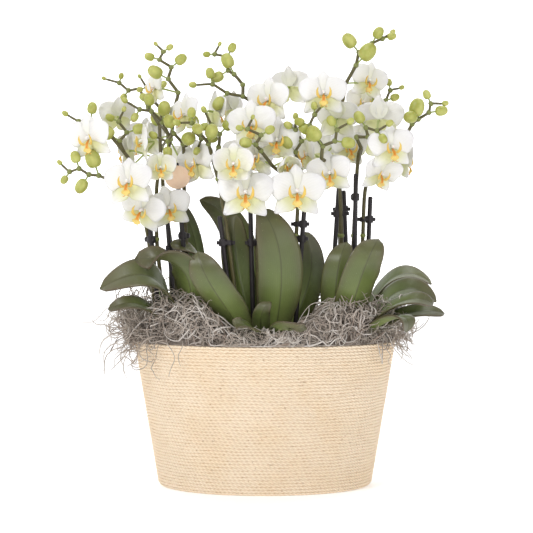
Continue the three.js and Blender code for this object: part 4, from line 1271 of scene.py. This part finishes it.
def lip(width, matrix, thickness):
    """The lip's middle lobe, its two curled side lobes and its two short tendrils."""

    def middle(t, across):
        half, up, forward = between(LIP_ROWS, t)
        trough = 0.35 * half * across * across
        return matrix @ (Vector((across * half, up, forward + trough)) * width)

    def claw(sign):
        def place(t, across):
            out, up, forward, half = between(CLAW_ROWS, t)
            ahead = math.pi * (0.1 + 0.75 * t)
            radial = Vector((math.sin(ahead), -math.cos(ahead), 0.5)).normalized()
            spot = Vector((out, up, forward)) + radial * (across * half)
            return matrix @ (Vector((sign * spot.x, spot.y, spot.z)) * width)

        return place

    parts = [blade((6, 10), middle, thickness)]
    parts += [blade((5, 10), claw(sign), thickness, 1) for sign in (1, -1)]
    for sign in (1, -1):
        curl = [Vector((out * sign, up, forward)) for out, up, forward in TENDRIL]
        path = through([matrix @ (p * width) for p in curl], 3)
        parts.append(tube(path, lambda s: 0.4 * (1 - 0.6 * s), 5))
    return parts


def column(width, matrix):
    """The white column over the lip, with its rounded cap."""
    bm = fresh()
    bmesh.ops.create_uvsphere(bm, u_segments=12, v_segments=9, radius=1)
    for vert in bm.verts:
        t = (vert.co.z + 1) / 2
        bulge = 0.03 + 0.012 * smoothstep(t, 0.5, 0.9)
        x, y = vert.co.x * bulge, vert.co.y * bulge + 0.012 + 0.02 * math.sin(math.pi * t)
        mark(bm, vert, t, 0, 0)
        vert.co = matrix @ (Vector((x, y, -0.01 + 0.15 * t)) * width)
    outward(bm)
    return bm


def add_bloom(whole, row, seed, thickness):
    """Adds a bloom's petals, lip and column to its spike."""
    matrix, width, cup = bloom_frame(row), row[6], row[7]
    tone = 0.55 * cup + 0.25 * steady(seed + 17)
    for k, shape in enumerate(PETALS):
        append(whole, petal(shape, width, cup, tone, seed * 7 + k, matrix, thickness), PETAL)
    for part in lip(width, matrix, thickness):
        append(whole, part, LIP)
    append(whole, column(width, matrix), COLUMN)


def buds_of(shoot):
    """The joint, the direction, the length and the foot of each bud on a side shoot."""
    joints, first, longest, shortest = shoot
    points = [Vector(p) for p in joints]
    bearing = len(points) - first
    for k in range(first, len(points)):
        point, last = points[k], k == len(points) - 1
        along = (point - points[k - 1]).normalized()
        outer = along.copy() if last else (point - points[k - 1].lerp(points[k + 1], 0.5)).normalized()
        length = lerp(longest, shortest, (k - first) / (bearing - 1)) if bearing > 1 else longest
        way = (outer * 1.1 + along * 0.5 + Vector((0, -0.25, 0.15))).normalized()
        seat = point + way * (0.5 if last else 0.35 * length + 2)
        yield point, way, length, seat


def bud(way, length, seat):
    """An egg-shaped bud with three seams."""
    bm = fresh()
    bmesh.ops.create_uvsphere(bm, u_segments=18, v_segments=11, radius=1)
    turn = Vector((0, 0, 1)).rotation_difference(way).to_matrix().to_4x4()
    matrix = Matrix.Translation(seat) @ turn
    for vert in bm.verts:
        polar = math.acos(max(-1, min(1, vert.co.z)))
        t = 1 - polar / math.pi
        angle = math.atan2(vert.co.y, vert.co.x)
        seam = max(math.exp(-((math.sin((angle - k * math.tau / 3) / 2) / 0.13) ** 2)) for k in range(3))
        belly = math.sin(math.pi * t**0.9) ** 0.7 * (1 - 0.1 * smoothstep(t, 0.6, 1))
        reach = BUD_GIRTH * length * belly * (1 - 0.05 * seam)
        height = length * (0.5 - 0.5 * math.cos(math.pi * t))
        mark(bm, vert, t, seam * math.sin(math.pi * t), 0)
        vert.co = matrix @ Vector((reach * math.cos(angle), 0.92 * reach * math.sin(angle), height))
    outward(bm)
    return bm


def bracts(points, every, tint):
    """The swellings at the joints of a stem."""
    for k, (point, _, _, ahead) in enumerate(frames_along(points)):
        if k == 0 or k % every or k == len(points) - 1:
            continue
        swelling = [point + ahead * away for away in (-2.2, -1.1, 0, 1.1, 2.2)]
        yield tube(swelling, lambda s: SHOOT_R * (1.05 + 0.5 * math.sin(math.pi * s)), 8, tint)


def spike(name, row, flowers, finishes):
    """A flower spike: the stems, the buds and the blooms on their stalks."""
    whole = fresh()
    stem = stem_points(row)
    shoots = [[Vector(p) for p in shoot[0]] for shoot in row["shoots"]]
    joints = [*stem[5:], *(p for shoot in shoots for p in shoot[:-1])]
    thickness = flowers.petal_thickness / MM
    stalks = [tube(through(stem, 6, 0.4), lambda s: lerp(STEM_R * 1.05, STEM_R * 0.85, s), 10, 0.04)]
    stalks += bracts(stem, 2, 0.55)
    for points in shoots:
        stalks.append(tube(through(points, 4, 0.22), lambda s: lerp(SHOOT_R, SHOOT_R * 0.6, s), 8, 0.06))
        stalks += bracts(points, 1, 0.4)
    for stalk in stalks:
        append(whole, stalk, STEM)
    for shoot in row["shoots"]:
        for point, way, length, seat in buds_of(shoot):
            path = [point, point.lerp(seat, 0.5), seat + way * 0.8]
            append(whole, tube(path, lambda s: PEDICEL_R * 0.85, 6, 0.8), STEM)
            append(whole, bud(way, length, seat), BUD)
    for k, bloom in enumerate(row["blooms"]):
        matrix = bloom_frame(bloom)
        centre = matrix.translation.copy()
        back = -(matrix.to_3x3() @ Vector((0, 0, 1)))
        start = nearest_joint(joints, matrix)
        bend = centre + back * min(9, 0.4 * (start - centre).length)
        path = through([start, bend, centre], 6)
        append(whole, tube(path, lambda s: PEDICEL_R * lerp(0.9, 1.25, s), 7, 0.85), STEM)
        add_bloom(whole, bloom, sum(map(ord, name)) + k * 11, thickness)
    show(name + "_flowers", mesh_of(name, whole), finishes, [name])


# Stage
def backdrop(name, size, matrix, glow):
    """A plain pale sheet that shines a little, so that it shows nearly white."""
    bm = fresh()
    bmesh.ops.create_grid(bm, x_segments=1, y_segments=1, size=size)
    bmesh.ops.transform(bm, matrix=matrix, verts=bm.verts)
    sheet = bpy.data.objects.new(name, mesh_of(name, bm))
    f = Finish(name, specular_ior_level=0.0, roughness=1.0, emission_strength=glow)
    f.skin.inputs["Emission Color"].default_value = WHITE
    sheet.data.materials.append(f.done(f.mix(f.noise(3, 2) * 0.1, (0.9, 0.9, 0.9), (0.87, 0.87, 0.87))))
    bpy.context.scene.collection.objects.link(sheet)


def studio():
    """The pale floor and wall, the soft lamps and the camera."""
    scene = bpy.context.scene
    backdrop("floor", 6, Matrix.Identity(4), 0.3)
    backdrop("wall", 6, Matrix.Translation((0, 3, 0)) @ Matrix.Rotation(math.pi / 2, 4, "X"), 0.95)
    scene.world = bpy.data.worlds.new("soft_room")
    scene.world.use_nodes = True
    room = scene.world.node_tree.nodes["Background"].inputs
    room["Color"].default_value, room["Strength"].default_value = WHITE, ROOM_LIGHT
    for name, (place, wide, power) in LAMPS.items():
        lamp = bpy.data.lights.new(name, "AREA")
        lamp.energy, lamp.size = power, wide
        holder = bpy.data.objects.new(name, lamp)
        holder.location = place
        holder.rotation_euler = (LAMP_AIM - Vector(place)).to_track_quat("-Z", "Y").to_euler()
        scene.collection.objects.link(holder)
    camera = bpy.data.cameras.new("camera")
    camera.lens, camera.sensor_width = LENS, SENSOR
    eye = bpy.data.objects.new("camera", camera)
    eye.location, eye.rotation_euler = EYE, (math.pi / 2 - EYE_DIP, 0, 0)
    scene.collection.objects.link(eye)
    scene.camera = eye
    scene.view_settings.view_transform = "Standard"


# Operators
class ORCHID_OT_stage(bpy.types.Operator):
    """Add the camera, the soft lights and the pale floor"""

    bl_idname = "orchid.stage"
    bl_label = "Stage"

    def execute(self, context):
        studio()
        return {"FINISHED"}


class ORCHID_OT_basket(bpy.types.Operator):
    """Wind the planter from paper cord, with its base and dark liner"""

    bl_idname = "orchid.basket"
    bl_label = "Cord planter"

    def execute(self, context):
        planter = context.scene.orchid_planter
        cord = cord_finish(planter)
        for name, first, last in CORD_BANDS:
            cord_band(name, planter, cord, first, last)
        basket_base(cord_flat_finish(planter))
        basket_liner(plastic_finish("liner", shade("1B1A1C"), shade("2E2C30"), 0.5))
        return {"FINISHED"}


class ORCHID_OT_insides(bpy.types.Operator):
    """Finish the pots, the bark, the crowns, the tub and its deck"""

    bl_idname = "orchid.insides"
    bl_label = "Insides"

    def execute(self, context):
        tub = plastic_finish("tub_plastic", shade("9AA0A0"), shade("868C8C"), 0.45)
        pot = plastic_finish("pot_plastic", shade("6A5145"), shade("57423A"), 0.5)
        looks = {"water_tub": tub, "pot_deck": tub, "nursery_pot": pot}
        looks.update({"bark": bark_finish(), "crown": crown_finish()})
        for name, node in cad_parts.items():
            for start, look in looks.items():
                if name.startswith(start):
                    node.data.materials.clear()
                    node.data.materials.append(look)
        return {"FINISHED"}


class ORCHID_OT_moss(bpy.types.Operator):
    """Lay the dry moss round the plants and over the rim"""

    bl_idname = "orchid.moss"
    bl_label = "Moss"

    def execute(self, context):
        planter = context.scene.orchid_planter
        finishes = {
            "moss_fine": moss_finish("moss_fine", planter.moss, shade("958679"), 70),
            "moss_mixed": moss_finish("moss_mixed", planter.moss_brown, shade("B5A99E"), 40),
            "moss_pale": moss_finish("moss_pale", planter.moss_pale, shade("C2B8AE"), 50),
        }
        # The body under the strands is dark brown-grey: painted shade of the depths under the strands.
        moss_body(moss_finish("moss_depth_shade", shade("55483F"), shade("827468"), 150))
        moss_tangle(planter, finishes)
        moss_wisps(finishes)
        return {"FINISHED"}


class ORCHID_OT_leaves(bpy.types.Operator):
    """Grow the strap leaves"""

    bl_idname = "orchid.leaves"
    bl_label = "Leaves"

    def execute(self, context):
        flowers = context.scene.orchid_flowers
        finish = leaf_finish(flowers)
        for name, row in LEAVES.items():
            leaf(name, row, flowers, finish)
        return {"FINISHED"}


class ORCHID_OT_sticks(bpy.types.Operator):
    """Set the sticks with their clips, and the blank label"""

    bl_idname = "orchid.sticks"
    bl_label = "Sticks and label"

    def execute(self, context):
        planter = context.scene.orchid_planter
        finish = stick_finish(planter)
        for name in STICKS:
            stick(name, finish)
        label(label_finish(planter))
        return {"FINISHED"}


class ORCHID_OT_spikes(bpy.types.Operator):
    """Grow the flower spikes with their shoots, buds and blooms"""

    bl_idname = "orchid.spikes"
    bl_label = "Flower spikes"

    def execute(self, context):
        flowers = context.scene.orchid_flowers
        makers = (petal_finish, lip_finish, column_finish, stem_finish, bud_finish)
        finishes = [make(flowers) for make in makers]
        for name, row in SPIKES.items():
            spike(name, row, flowers, finishes)
        return {"FINISHED"}


class ORCHID_PT_panel(bpy.types.Panel):
    """The pieces of the orchid planter"""

    bl_idname = "ORCHID_PT_panel"
    bl_label = "Orchid planter"
    bl_space_type = "VIEW_3D"
    bl_region_type = "UI"
    bl_category = "Orchid planter"

    def draw(self, context):
        for group in (context.scene.orchid_flowers, context.scene.orchid_planter):
            for name in group.bl_rna.properties.keys():
                if name not in {"rna_type", "name"}:
                    self.layout.prop(group, name)
        for operator in OPERATORS:
            self.layout.operator(operator.bl_idname)


OPERATORS = (
    ORCHID_OT_stage, ORCHID_OT_basket, ORCHID_OT_insides, ORCHID_OT_moss, ORCHID_OT_leaves, ORCHID_OT_sticks,
    ORCHID_OT_spikes,
)
CLASSES = (OrchidFlowerSettings, OrchidPlanterSettings, *OPERATORS, ORCHID_PT_panel)


def register():
    for item in CLASSES:
        bpy.utils.register_class(item)
    bpy.types.Scene.orchid_flowers = bpy.props.PointerProperty(type=OrchidFlowerSettings)
    bpy.types.Scene.orchid_planter = bpy.props.PointerProperty(type=OrchidPlanterSettings)


def unregister():
    del bpy.types.Scene.orchid_flowers
    del bpy.types.Scene.orchid_planter
    for item in reversed(CLASSES):
        bpy.utils.unregister_class(item)


def main():
    register()
    bpy.ops.orchid.stage()
    bpy.ops.orchid.basket()
    bpy.ops.orchid.insides()
    bpy.ops.orchid.moss()
    bpy.ops.orchid.leaves()
    bpy.ops.orchid.sticks()
    bpy.ops.orchid.spikes()
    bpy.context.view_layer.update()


if __name__ == "__main__":
    main()
